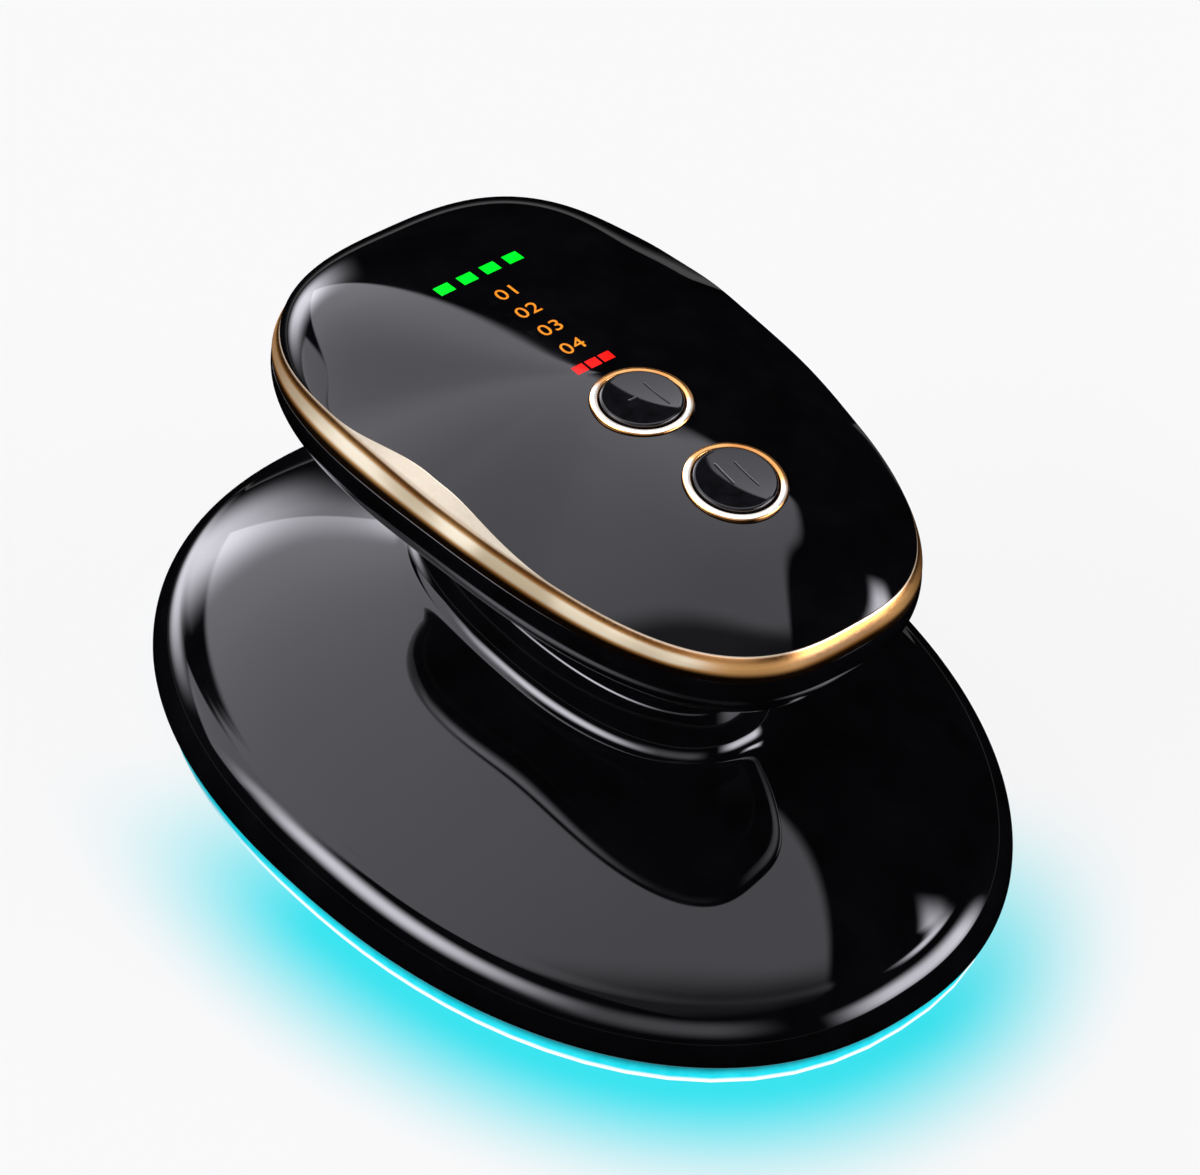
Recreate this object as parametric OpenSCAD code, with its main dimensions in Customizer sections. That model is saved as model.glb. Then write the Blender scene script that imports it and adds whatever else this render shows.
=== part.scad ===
// Handheld body contouring device: an oval treatment head, a neck and a mushroom-shaped grip.
// The origin is the middle of the resting plane, +Z is up and the display end is towards +Y.

/* [Treatment head] */
// Length of the head, along Y
head_l = 140; // [120:1:160]
// Width of the head, along X
head_w = 104.8; // [96:0.2:116]
// Squareness of the head's outline, where 2 is an ellipse
head_square = 2.22; // [2:0.02:2.6]
// How much wider the head is towards the display end, as a share
head_egg = 0.05; // [0:0.01:0.1]
// Height of the housing's lower edge above the resting plane
head_edge_z = 4.6; // [4.2:0.1:6]
// Radius of the rolled edge
head_roll = 8; // [6:0.5:10]
// Rise of the top from the rolled edge to the neck
head_rise = 15; // [12:0.5:20]
// Wall of the head housing
head_wall = 2.2; // [1.8:0.1:2.6]

/* [Neck] */
// Length of the neck, along Y
neck_l = 62; // [58:1:70]
// Width of the neck, along X
neck_w = 28.6; // [26:0.2:34]
// Radius of the fillet where the neck stands on the head
neck_fillet = 1.8; // [1:0.2:4]
// Height of the collar above that fillet, up to the seam
neck_collar = 3.7; // [1:0.1:5]
// Height of the straight neck above the seam
neck_straight = 5; // [3:0.2:12]
// Height of the flare from the neck to the grip's underside
neck_flare = 10; // [8:0.5:14]
// Wall of the neck
neck_wall = 2.2; // [1.8:0.1:2.6]
// Thickness of each of the two floors that the neck screws clamp
neck_floor = 3; // [2.4:0.2:4]

/* [Grip] */
// Length of the grip, along Y
grip_l = 102; // [96:1:114]
// Width of the grip, along X
grip_w = 61; // [58:0.5:70]
// Squareness of the grip's outline, where 2 is an ellipse
grip_square = 2.85; // [2.4:0.05:3.2]
// How much wider the grip is towards the display end, as a share
grip_egg = 0.12; // [0.05:0.01:0.2]
// Radius of the lower shell where it rolls under
grip_roll = 9.4; // [8:0.1:11]
// Height of the lower shell's edge above the grip's widest line
grip_lip = 1.2; // [0.6:0.1:2]
// Height of the dome above the trim band
dome_h = 8.85; // [8:0.05:12]
// Power of the dome's section towards its long sides, where a higher value is flatter in the middle
side_power = 2.4; // [2.2:0.05:3]
// Power of the dome's section towards its two ends
end_power = 3.8; // [3:0.05:4]
// Roundness of the dome's rim at the charging end, where 1 is as plain as the rest of the rim
end_round = 2; // [1.4:0.05:2.2]
// Roundness of the rim that the shell's wavy edge is drawn on, where 2 is an ellipse
rim_round = 2.8; // [2:0.05:3.2]
// Wall of the two grip shells
grip_wall = 2; // [1.6:0.1:2.4]

/* [Trim band] */
// Height of the band at the two ends of the grip
trim_h = 3.6; // [3:0.1:5]
// How far the band leans in from its lower to its upper edge
trim_lean = 1.1; // [0.6:0.1:1.8]
// Extra height of the band along the grip's long sides
trim_rise = 1.25; // [0.6:0.05:2]
// Further height of the band beside the display
trim_swell = 0.6; // [0.2:0.05:1]
// Height of the flat shoulder on each long side
shoulder_h = 2.6; // [1:0.1:3.2]
// Bulge of the band's round face
trim_bulge = 0.35; // [0:0.05:0.5]
// Wall of the band at its lower edge
trim_wall = 1.8; // [1.4:0.1:2.2]

/* [Buttons] */
// Place of the power button along Y
power_y = -7.4; // [-9:0.2:-6]
// Distance between the two buttons
button_pitch = 19; // [17:0.5:21]
// Outer radius of a bezel ring
bezel_r = 7; // [6:0.1:7.6]
// Width of a bezel ring as seen from above
bezel_band = 1.1; // [0.8:0.1:1.6]
// Radial clearance round a button cap
cap_clear = 0.25; // [0.15:0.05:0.4]
// Height of a bezel ring above the shell
bezel_proud = 0.35; // [0.2:0.05:0.6]
// Height of a cap's rim above the shell
cap_proud = 0.75; // [0.5:0.05:1]
// Radius of the dish in a cap's top
dish_r = 28; // [24:1:60]
// Travel of a button
button_travel = 0.5; // [0.3:0.05:0.6]

/* [Display] */
// Place of the charge lights along Y
charge_y = 27.4; // [26:0.2:30]
// Distance between charge lights
charge_pitch = 4; // [3.4:0.1:5]
// Size of a charge light's window, along X and Y
charge_window = [2.5, 2.1];
// Place of the first mode light along Y
mode_y = 21.5; // [20:0.2:23]
// Distance between mode lights
mode_pitch = 4.8; // [4:0.1:4.9]
// Size of a mode light's window, along X and Y
mode_window = [6, 2.2];
// Place of the level lights along Y
level_y = 2.7; // [2.4:0.1:3.4]
// Distance between level lights
level_pitch = 2.3; // [2.3:0.1:3]
// Size of a level light's window, along X and Y
level_window = [1.9, 1.7];

/* [Treatment face] */
// Distance of the outer electrodes from the head's outline
pad_inset = 7; // [6.6:0.2:9]
// Width of the light channel's outer edge, along X
channel_w = 50; // [46:1:56]
// Length of the light channel's outer edge, along Y
channel_l = 88; // [84:1:94]
// Width of the spokes between the outer electrodes
spoke_w = 6.5; // [5:0.5:9]
// Angle of the slanted spokes from the long axis
spoke_angle = 32; // [26:1:38]
// Length of the centre electrode
ring_l = 70; // [64:1:74]
// Width of the centre electrode
ring_w = 33; // [30:1:36]
// Width of the metal band of the centre electrode
ring_band = 8.5; // [7:0.5:10]
// Thickness of the electrodes
pad_t = 1.5; // [1.2:0.1:2]
// Radius of an electrode's stud
stud_r = 1.5; // [1.2:0.1:1.8]
// Height of the rim's lower edge above the resting plane
rim_z = 1.1; // [0.6:0.1:1.4]
// Thickness of the treatment plate
plate_t = 1.6; // [1.4:0.1:2]

/* [Inside] */
// Thickness of the circuit boards
board_t = 1.6; // [1.2:0.1:2]
// Room between the battery cell and the end of the grip, on the buttons' side
battery_room = 23.4; // [22:0.2:26]
// Width of the battery cell
battery_w = 34; // [28:1:36]
// Thickness of the battery cell
battery_t = 6; // [5:0.1:6.4]
// Height of a tact switch above the board
switch_h = 2; // [1.8:0.1:2.2]
// Height of a plunger above its switch
plunger_h = 0.9; // [0.8:0.05:1.1]

/* [Hidden] */

// Sides of every outline drawn round the long axis
sides = 72;
turns = [for (i = [0:sides - 1]) i * 360 / sides];
$fn = 48;

// Clearances
slip = 0.1;
seat_gap = 0.15;
thread_fit = 0.03;

// Heights of the head, from the resting plane up
head_wide_z = head_edge_z + 1.5;
roll_end = 65;
roll_end_z = head_wide_z + head_roll * sin(roll_end);
shoulder_z = roll_end_z + head_rise;
seam_z = shoulder_z + neck_fillet + neck_collar;
skirt_top_z = head_edge_z - slip;
plate_z = skirt_top_z - plate_t;
head_edge_in = 1;
head_inner_in = head_edge_in + head_wall - 0.1;
tongue_h = 2.5;

// Heights of the grip
under_end = 75;
underside_z = seam_z + neck_straight + neck_flare;
grip_wide_z = underside_z + grip_roll * sin(under_end);
grip_edge_z = grip_wide_z + grip_lip;
grip_edge_in = 0.15;
dome_z = grip_edge_z + trim_h;
tongue_in = trim_wall + grip_edge_in + seat_gap;
tongue_t = 1.1;
tongue_top = 1.8;
tongue_line = grip_edge_z + tongue_top + 0.2;
ledge_w = 1.2;
dome_half_w = grip_w / 2 - trim_lean;
dome_half_l = grip_l / 2 - trim_lean;
crown_z = dome_z + dome_h;
wall_slant = 1.1;

// Boards, battery and cradle
board_lift = 1.9;
board_z = grip_edge_z + board_lift;
board_top = board_z + board_t;
cradle_z = underside_z + grip_wall + 0.5;
cradle_t = 1.2;
pad_foam_t = 0.5;
battery_z = cradle_z + cradle_t + pad_foam_t;
light_board_z = skirt_top_z + tongue_h;
light_board_top = light_board_z + board_t;
light_board_in = 6.6;
boss_front = grip_l / 2 - 21;
boss_rear = grip_l / 2 - 20;
boss_places = [[18, boss_front], [-18, boss_front], [14, -boss_rear], [-14, -boss_rear]];
boss_foot = underside_z + 0.3;
boss_r = 2.6;
boss_step_r = 3.6;
screw_r = 1;
neck_screw_r = 1.5;
neck_screw_places = [for (x = [-6.5, 6.5]) for (y = [-18, 16]) [x, y]];
ring_stud_y = (ring_l - ring_band) / 2;
nut_r = 2 * stud_r;
cable_clear = 1.25;
cable_w = 10;
cable_t = 0.6;
cable_slot = [cable_w + 2, cable_t + 2, neck_floor + 2];
connector = [12, 3.4, 2];
cable_y = min(neck_l / 2 - neck_wall - 4, ring_stud_y - nut_r - connector[1] / 2 - cable_clear);
cell_to_cable = 2.1;
battery_low_y = battery_room - grip_l / 2;
battery_high_y = cable_y - cable_t / 2 - cell_to_cable;
battery_l = battery_high_y - battery_low_y;
battery_y = (battery_high_y + battery_low_y) / 2;

// Buttons
mode_button_y = power_y - button_pitch;
cap_r = bezel_r - bezel_band - cap_clear;
cap_rim = 0.4;
dish_lift = sqrt(dish_r * dish_r - pow(cap_r - cap_rim, 2));
spigot_r = bezel_r - 0.6;
bezel_seat = 1;
button_boss_t = 2.6;
button_flange_t = 0.8;
chip = 8;
chip_y = power_y - button_pitch / 2;
plunger_top = board_top + switch_h + plunger_h;

// Charging socket
socket_w = 9;
socket_h = 3.2;
socket_depth = 7.4;
socket_wall = 0.3;
charge_board_t = 1.2;
charge_board_w = 16;
charge_board_l = 9.4;
charge_board_edge = 3;
charge_board_z = underside_z + grip_wall + 0.6;
socket_z = charge_board_z + charge_board_t + socket_h / 2;
socket_mouth_y = grip_l / 2 - 3;
charge_screw_y = socket_mouth_y - socket_depth - 3.1;
charge_screw_r = 0.8;
charge_screw_places = [[6, charge_screw_y], [-6, charge_screw_y]];
charge_screw_deep = 1.4;

function mix(p, q, s) = p + (q - p) * s;
function smooth(x, a, b) = let (u = min(1, max(0, (x - a) / (b - a)))) u * u * (3 - 2 * u);

// Point at angle t of an egg-shaped superellipse of half width a and half length b
function egg_point(t, a, b, n, egg) =
    let (r = pow(pow(abs(cos(t)) / a, n) + pow(abs(sin(t)) / b, n), -1 / n))
    [r * cos(t) * (1 + egg * r * sin(t) / b), r * sin(t)];

// Outlines of the head, the neck and the grip, drawn in by d
function head_point(t, d) = egg_point(t, head_w / 2 - d, head_l / 2 - d, head_square, head_egg);
function neck_point(t, d) = egg_point(t, neck_w / 2 - d, neck_l / 2 - d, 2.3, 0);
function grip_point(t, d) = egg_point(t, grip_w / 2 - d, grip_l / 2 - d, grip_square, grip_egg);
function at_height(p, z) = [p[0], p[1], z];
function head_ring(d, z) = [for (t = turns) at_height(head_point(t, d), z)];
function neck_ring(d, z) = [for (t = turns) at_height(neck_point(t, d), z)];
function grip_ring(d, z) = [for (t = turns) at_height(grip_point(t, d), z)];

// Two triangles between rings a and b from side i on, split along the shorter diagonal
function patch(points, a, b, i) =
    let (k = (i + 1) % sides)
    norm(points[a + i] - points[b + k]) <= norm(points[b + i] - points[a + k])
    ? [[a + i, b + i, b + k], [a + i, b + k, a + k]]
    : [[a + i, b + i, a + k], [b + i, b + k, a + k]];

// Skin through rings of points, with the last ring joined to the first
module ring_loft(rings) {
    count = len(rings);
    points = [for (ring = rings) each ring];
    polyhedron(points = points, faces = [for (j = [0:count - 1]) for (i = [0:sides - 1])
        each patch(points, j * sides, (j + 1) % count * sides, i)]);
}

// Skin through rings of points, with the first and the last closed by flat faces
module dome_loft(rings) {
    last = (len(rings) - 1) * sides;
    points = [for (ring = rings) each ring];
    polyhedron(points = points, faces = [
        [for (i = [0:sides - 1]) i],
        for (j = [0:len(rings) - 2]) for (i = [0:sides - 1])
            each patch(points, j * sides, (j + 1) * sides, i),
        [for (i = [0:sides - 1]) last + sides - 1 - i]]);
}

module head_plan(d) {
    polygon([for (t = turns) head_point(t, d)]);
}

module neck_plan(d) {
    polygon([for (t = turns) neck_point(t, d)]);
}

module grip_plan(d) {
    polygon([for (t = turns) grip_point(t, d)]);
}

// Share of the outline on which the shell's edge lies at a height
function rim_share(z) = pow(1 - pow(max(0, z - dome_z) / dome_h, rim_round), 1 / rim_round);

// Height of the dome at a share of its edge, where y is the outline's place along the grip
function dome_power(y) = mix(side_power, end_power, smooth(abs(y) / grip_l, 0.05, 0.42));
function dome_steep(y) = mix(1, end_round, smooth(y / grip_l, 0.1, 0.45));
function dome_height(q, y) = let (z = shell_edge_z(y))
    z + (crown_z - z) * pow(1 - pow(min(1, q), dome_power(y)), 1 / dome_steep(y));
function plan_share(x, y, q) =
    pow(pow(abs(x) / (dome_half_w * (1 + grip_egg * y / q / dome_half_l)), grip_square)
        + pow(abs(y) / dome_half_l, grip_square), 1 / grip_square);
function surface_z(x, y) = let (q = max(0.001, plan_share(x, y, plan_share(x, y, 1))))
    dome_height(q / rim_share(shell_edge_z(y / q)), y / q);
function surface_tilt(y) = atan((surface_z(0, y + 1) - surface_z(0, y - 1)) / 2);

// Edge between the band's round face and its shoulder, and edge between the shoulder and the top shell
function crease_z(y) = let (u = y / grip_l)
    dome_z + 0.05 + trim_rise * smooth(u, -0.45, -0.14) + trim_swell * smooth(u, -0.02, 0.14)
    - (trim_rise + trim_swell) * smooth(u, 0.18, 0.45);
function shell_edge_z(y) = let (u = y / grip_l)
    crease_z(y) + 0.1 + shoulder_h * smooth(u, -0.22, -0.01) * (1 - smooth(u, 0.02, 0.215));
function side_y(t) = grip_point(t, trim_lean)[1];
function edge_point(t) = let (z = shell_edge_z(side_y(t)))
    at_height(grip_point(t, trim_lean) * rim_share(z), z);
function ledge_point(t, d) = let (z = shell_edge_z(side_y(t)), q = rim_share(z))
    at_height(egg_point(t, dome_half_w * q - d, dome_half_l * q - d, grip_square, grip_egg), z);

// Ring at share s of the way up the band's round face
function band_ring(s) = [for (t = turns)
    let (z = crease_z(side_y(t)), d = mix(grip_edge_in, trim_lean, s) - 4 * trim_bulge * s * (1 - s))
    at_height(grip_point(t, d) * mix(1, rim_share(z), s), mix(grip_edge_z, z, s))];

// One ring of the dome at share s of its edge, or of the wall's inner face, which lies d deeper
function dome_ring(d, s) = [for (t = turns)
    let (y = side_y(t), inner = 1 - d / norm(grip_point(t, trim_lean)))
    at_height(grip_point(t, trim_lean + d) * rim_share(shell_edge_z(y)) * s,
        dome_height(s * inner, y) - d * wall_slant)];

module at_button(y) {
    translate([0, y, surface_z(0, y)]) rotate([surface_tilt(y), 0, 0]) children();
}

// Half-open cutting block above the plane that lies h over the shell at a button
module above_button(y, h) {
    at_button(y) translate([-15, -15, h]) cube([30, 30, 10]);
}

function bezel_bottom(y) = surface_z(0, y) - button_boss_t - spigot_r * abs(sin(surface_tilt(y))) - slip;

module window_cut(x, y, size) {
    translate([x - size[0] / 2, y - size[1] / 2, dome_z]) cube([size[0], size[1], dome_h + 5]);
}

module windows() {
    for (x = [-1.5:1.5]) window_cut(x * charge_pitch, charge_y, charge_window);
    for (k = [0:3]) window_cut(0, mode_y - k * mode_pitch, mode_window);
    for (x = [-1:1]) window_cut(x * level_pitch, level_y, level_window);
}

module grip_top_shell() {
    color("#101012") difference() {
        union() {
            dome_loft([
                for (s = [0.08, 0.3, 0.5, 0.7, 0.85, 1]) dome_ring(grip_wall, s),
                grip_ring(tongue_in + tongue_t, tongue_line),
                grip_ring(tongue_in, tongue_line),
                [for (t = turns) ledge_point(t, ledge_w + seat_gap)],
                [for (t = turns) edge_point(t)],
                for (s = [0.94, 0.86, 0.76, 0.65, 0.52, 0.38, 0.22, 0.06]) dome_ring(0, s)]);
            for (y = [power_y, mode_button_y])
                at_button(y) translate([0, 0, -button_boss_t]) cylinder(r = bezel_r + 1.4, h = 1.4);
        }
        for (y = [power_y, mode_button_y]) {
            translate([0, y, dome_z]) cylinder(r = spigot_r + slip, h = dome_h + 5);
            translate([0, y, surface_z(0, y) - bezel_seat]) cylinder(r = bezel_r + slip, h = 5);
        }
        windows();
    }
}

module trim_band() {
    color("#c58a4a") ring_loft([
        for (s = [0, 0.14, 0.32, 0.5, 0.68, 0.86, 1]) band_ring(s),
        [for (t = turns) edge_point(t)],
        [for (t = turns) ledge_point(t, ledge_w)],
        grip_ring(trim_wall + grip_edge_in, tongue_line),
        grip_ring(trim_wall + grip_edge_in, grip_edge_z)]);
}

// Ring at share s of the way from the grip's rolled underside to the neck, seen from outside or inside
function flare_ring(s, wall) = [for (t = turns)
    let (a = grip_point(t, grip_roll - (grip_roll - wall) * cos(under_end)))
    let (drop = neck_flare * (1 - pow(1 - pow(s, 2.4), 1 / 2.4)))
    at_height(mix(a, neck_point(t, wall * neck_wall / grip_wall), s),
        underside_z - drop + wall * (1 - s * 0.6))];

function under_ring(a, wall) =
    grip_ring(grip_roll - (grip_roll - wall) * cos(a), grip_wide_z - (grip_roll - wall) * sin(a));

module slot_prism(w, h, depth) {
    rotate([-90, 0, 0]) {
        for (x = [-1, 1]) translate([x * (w - h) / 2, 0, 0]) cylinder(d = h, h = depth);
        translate([-(w - h) / 2, -h / 2, 0]) cube([w - h, h, depth]);
    }
}

module grip_lower_shell() {
    color("#0c0c0e") difference() {
        union() {
            ring_loft([
                neck_ring(0, seam_z),
                for (s = [1, 0.985, 0.94, 0.86, 0.74, 0.58, 0.4, 0.2]) flare_ring(s, 0),
                for (a = [under_end, 60, 45, 30, 15, 0]) under_ring(a, 0),
                grip_ring(grip_edge_in, grip_edge_z),
                grip_ring(tongue_in, grip_edge_z),
                grip_ring(tongue_in, grip_edge_z + tongue_top),
                grip_ring(tongue_in + tongue_t, grip_edge_z + tongue_top),
                grip_ring(tongue_in + tongue_t, grip_edge_z),
                for (a = [20, 40, 60, under_end]) under_ring(a, grip_wall),
                for (s = [0.25, 0.55, 0.8, 0.94, 1]) flare_ring(s, grip_wall),
                neck_ring(neck_wall, seam_z)]);
            translate([0, 0, seam_z]) linear_extrude(neck_floor) neck_plan(neck_wall / 2);
            for (p = boss_places) translate([p[0], p[1], boss_foot]) {
                cylinder(r = boss_step_r, h = cradle_z - boss_foot);
                cylinder(r = boss_r, h = board_z - boss_foot);
            }
            for (p = charge_screw_places) translate([p[0], p[1], boss_foot])
                cylinder(r = 2, h = charge_board_z - boss_foot);
        }
        for (p = charge_screw_places) translate([p[0], p[1], charge_board_z - charge_screw_deep])
            cylinder(r = charge_screw_r + thread_fit, h = charge_screw_deep + 1);
        for (p = boss_places) translate([p[0], p[1], board_z - 6])
            cylinder(r = screw_r + thread_fit, h = 7);
        for (p = neck_screw_places) translate([p[0], p[1], seam_z - 1])
            cylinder(r = neck_screw_r + 0.2, h = neck_floor + 2);
        translate([0, cable_y, seam_z + neck_floor / 2]) cube(cable_slot, center = true);
        translate([0, socket_mouth_y - 3, socket_z]) slot_prism(socket_w + 0.4, socket_h + 0.4, 20);
        translate([0, socket_mouth_y + 0.3, socket_z]) slot_prism(socket_w + 2, socket_h + 1.2, 20);
    }
}

module bezel(y) {
    color("#d9a566") difference() {
        union() {
            translate([0, y, surface_z(0, y) - bezel_seat]) cylinder(r = bezel_r, h = 4);
            translate([0, y, bezel_bottom(y)]) cylinder(r = spigot_r, h = 3);
        }
        translate([0, y, dome_z]) cylinder(r = cap_r + cap_clear, h = dome_h + 5);
        above_button(y, bezel_proud);
    }
}

module power_bezel() {
    bezel(power_y);
}

module mode_bezel() {
    bezel(mode_button_y);
}

module button_cap(y) {
    flange_top = bezel_bottom(y) - slip;
    color("#16161a") difference() {
        union() {
            translate([0, y, flange_top - 0.1]) cylinder(r = cap_r, h = 6);
            translate([0, y, flange_top - button_flange_t]) cylinder(r = spigot_r + 0.3, h = button_flange_t);
            translate([0, y, plunger_top]) cylinder(r = 2, h = flange_top - plunger_top);
        }
        above_button(y, cap_proud);
        at_button(y) translate([0, 0, cap_proud + dish_lift]) sphere(r = dish_r);
    }
}

module power_button() {
    button_cap(power_y);
}

module mode_button() {
    button_cap(mode_button_y);
}

plunger_r = 1.75;
plunger_depth = 1.1;

module plunger(y) {
    color("#e8e2d0") translate([0, y, plunger_top - plunger_h - plunger_depth])
        cylinder(r = plunger_r, h = plunger_h + plunger_depth);
}

module power_plunger() {
    plunger(power_y);
}

module mode_plunger() {
    plunger(mode_button_y);
}

module tact_switch(y) {
    color("#8d8f94") translate([0, y, board_top]) difference() {
        translate([-3, -3, 0]) cube([6, 6, switch_h]);
        translate([0, 0, switch_h - plunger_depth - button_travel - 0.2])
            cylinder(r = plunger_r + slip, h = 5);
    }
}

module power_switch() {
    tact_switch(power_y);
}

module mode_switch() {
    tact_switch(mode_button_y);
}

// Column of a light pipe whose top lies flush with the dome
module pipe_column(x, y, size) {
    low_y = y - size[1] / 2 + slip;
    high_y = y + size[1] / 2 - slip;
    translate([x - size[0] / 2 + slip, 0, 0]) rotate([90, 0, 90]) linear_extrude(size[0] - 2 * slip)
        polygon([[low_y, board_top + 1.1], [high_y, board_top + 1.1],
            [high_y, surface_z(x, high_y)], [low_y, surface_z(x, low_y)]]);
}

// Bar that joins a row of columns just under the shell, at its lowest corner
module pipe_bar(x, y, w, l) {
    top = min(surface_z(x + w / 2, y + l / 2), surface_z(x + w / 2, y - l / 2)) - grip_wall - 0.5;
    translate([x - w / 2, y - l / 2, top - 1.2]) cube([w, l, 1.2]);
}

module charge_light_pipe() {
    color("#39ff3c") {
        for (x = [-1.5:1.5]) pipe_column(x * charge_pitch, charge_y, charge_window);
        pipe_bar(0, charge_y, 3 * charge_pitch + 4, 3);
    }
}

module mode_light_pipe() {
    color("#ff9a30") {
        for (k = [0:3]) pipe_column(0, mode_y - k * mode_pitch, mode_window);
        pipe_bar(0, mode_y - 1.5 * mode_pitch, 2, 3 * mode_pitch + 3);
    }
}

module level_light_pipe() {
    color("#ff2020") {
        for (x = [-1:1]) pipe_column(x * level_pitch, level_y, level_window);
        pipe_bar(0, level_y, 2 * level_pitch + 3, level_window[1] + 0.4);
    }
}

module small_led(x, y) {
    translate([x - 0.8, y - 0.4, board_top]) cube([1.6, 0.8, 0.8]);
}

module indicator_leds() {
    color("#fff4c0") {
        for (x = [-1.5:1.5]) small_led(x * charge_pitch, charge_y);
        for (k = [0:3]) small_led(0, mode_y - k * mode_pitch);
        for (x = [-1:1]) small_led(x * level_pitch, level_y);
    }
}

module main_board() {
    color("#1d5a34") difference() {
        translate([0, 0, board_z]) linear_extrude(board_t) grip_plan(tongue_in + tongue_t + 2);
        for (p = boss_places) translate([p[0], p[1], board_z - 1])
            cylinder(r = screw_r + 0.2, h = board_t + 2);
    }
}

module control_chip() {
    color("#202226") {
        translate([-chip / 2, chip_y - chip / 2, board_top]) cube([chip, chip, 1.1]);
        for (k = [-3:3]) for (s = [-1, 1])
            translate([s * (chip / 2 + 0.4) - 0.4, chip_y + k - 0.2, board_top]) cube([0.8, 0.4, 0.3]);
    }
}

module screw(r, length, head_r, head_h) {
    difference() {
        union() {
            translate([0, 0, -length]) cylinder(r = r, h = length);
            cylinder(r = head_r, h = head_h);
        }
        translate([0, 0, head_h - 0.6]) for (a = [0, 90]) rotate(a)
            translate([-head_r * 0.6, -0.3, 0]) cube([head_r * 1.2, 0.6, 1]);
    }
}

module board_screws() {
    color("#b8bac0") for (p = boss_places) translate([p[0], p[1], board_top])
        screw(screw_r, board_t + 5, 2, 1.3);
}

module battery() {
    color("#9aa4b8") {
        translate([-battery_w / 2, battery_y - battery_l / 2, battery_z])
            cube([battery_w, battery_l - 2, battery_t]);
        translate([-battery_w / 2 + 2, battery_y + battery_l / 2 - 2, battery_z + 1])
            cube([battery_w - 4, 2, battery_t - 2]);
    }
}

module battery_pad() {
    color("#3a3d44") translate([-battery_w / 2 + 2, battery_y - battery_l / 2 + 2, battery_z - pad_foam_t])
        cube([battery_w - 4, battery_l - 4, pad_foam_t]);
}

module battery_cradle() {
    reach = charge_screw_y - charge_board_edge;
    color("#4c5058") difference() {
        union() {
            translate([0, 0, cradle_z]) linear_extrude(cradle_t) intersection() {
                grip_plan(grip_roll - 1);
                translate([-grip_w / 2, -reach]) square([grip_w, 2 * reach]);
            }
            for (x = [-1, 1])
                translate([x * (battery_w / 2 + 1) - 0.6, battery_y - 12, cradle_z + cradle_t / 2])
                    cube([1.2, 24, cradle_t / 2 + 4]);
        }
        for (p = boss_places) translate([p[0], p[1], cradle_z - 1])
            cylinder(r = boss_r + 0.2, h = cradle_t + 2);
        translate([0, cable_y, cradle_z]) cube([cable_w + 2, 3, 6], center = true);
    }
}

module charge_board() {
    color("#1d5a34") difference() {
        translate([-charge_board_w / 2, charge_screw_y - charge_board_edge, charge_board_z])
            cube([charge_board_w, charge_board_l, charge_board_t]);
        for (p = charge_screw_places) translate([p[0], p[1], charge_board_z - 1])
            cylinder(r = charge_screw_r + 0.1, h = charge_board_t + 2);
    }
}

module charge_board_screws() {
    color("#b8bac0") for (p = charge_screw_places) translate([p[0], p[1], charge_board_z + charge_board_t])
        screw(charge_screw_r, charge_board_t + charge_screw_deep - 0.3, 1.6, 1);
}

module charging_socket() {
    color("#c9ccd2") translate([0, socket_mouth_y - socket_depth, socket_z]) {
        difference() {
            slot_prism(socket_w, socket_h, socket_depth);
            translate([0, 1, 0])
                slot_prism(socket_w - 2 * socket_wall, socket_h - 2 * socket_wall, socket_depth);
        }
        translate([-3.3, 0.5, -0.35]) cube([6.6, 5, 0.7]);
    }
}

module board_header() {
    low = charge_board_z + charge_board_t;
    y = charge_screw_y - 1.4;
    color("#c8a046") for (x = [-1.5:1.5]) translate([x * 2 - 0.3, y - 0.3, low])
        cube([0.6, 0.6, board_z - low]);
    color("#202226") translate([-4, y - 1, low]) cube([8, 2, 2]);
}

module ribbon_cable() {
    low = light_board_top + connector[2];
    high = board_z - connector[2];
    color("#d8d8d2") translate([-cable_w / 2, cable_y - cable_t / 2, low])
        cube([cable_w, cable_t, high - low]);
}

module cable_connectors() {
    color("#ece6d6") for (z = [light_board_top, board_z - connector[2]])
        translate([-connector[0] / 2, cable_y - connector[1] / 2, z]) cube(connector);
}

module neck_screws() {
    color("#b8bac0") for (p = neck_screw_places) translate([p[0], p[1], seam_z + neck_floor])
        screw(neck_screw_r, neck_floor + 7, 2.8, 2);
}

// Ring at share s of the way from the head's rolled edge to the neck
function crown_ring(s, wall) = [for (t = turns)
    let (a = head_point(t, head_roll - (head_roll - wall) * cos(roll_end)))
    let (rise = head_rise * s * (1.15 - 0.15 * s))
    at_height(mix(a, neck_point(t, wall - neck_fillet), s),
        roll_end_z - wall * sin(roll_end) + rise - 0.1 * wall * s)];

function roll_ring(a, wall) =
    head_ring(head_roll - (head_roll - wall) * cos(a), head_wide_z + (head_roll - wall) * sin(a));

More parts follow.
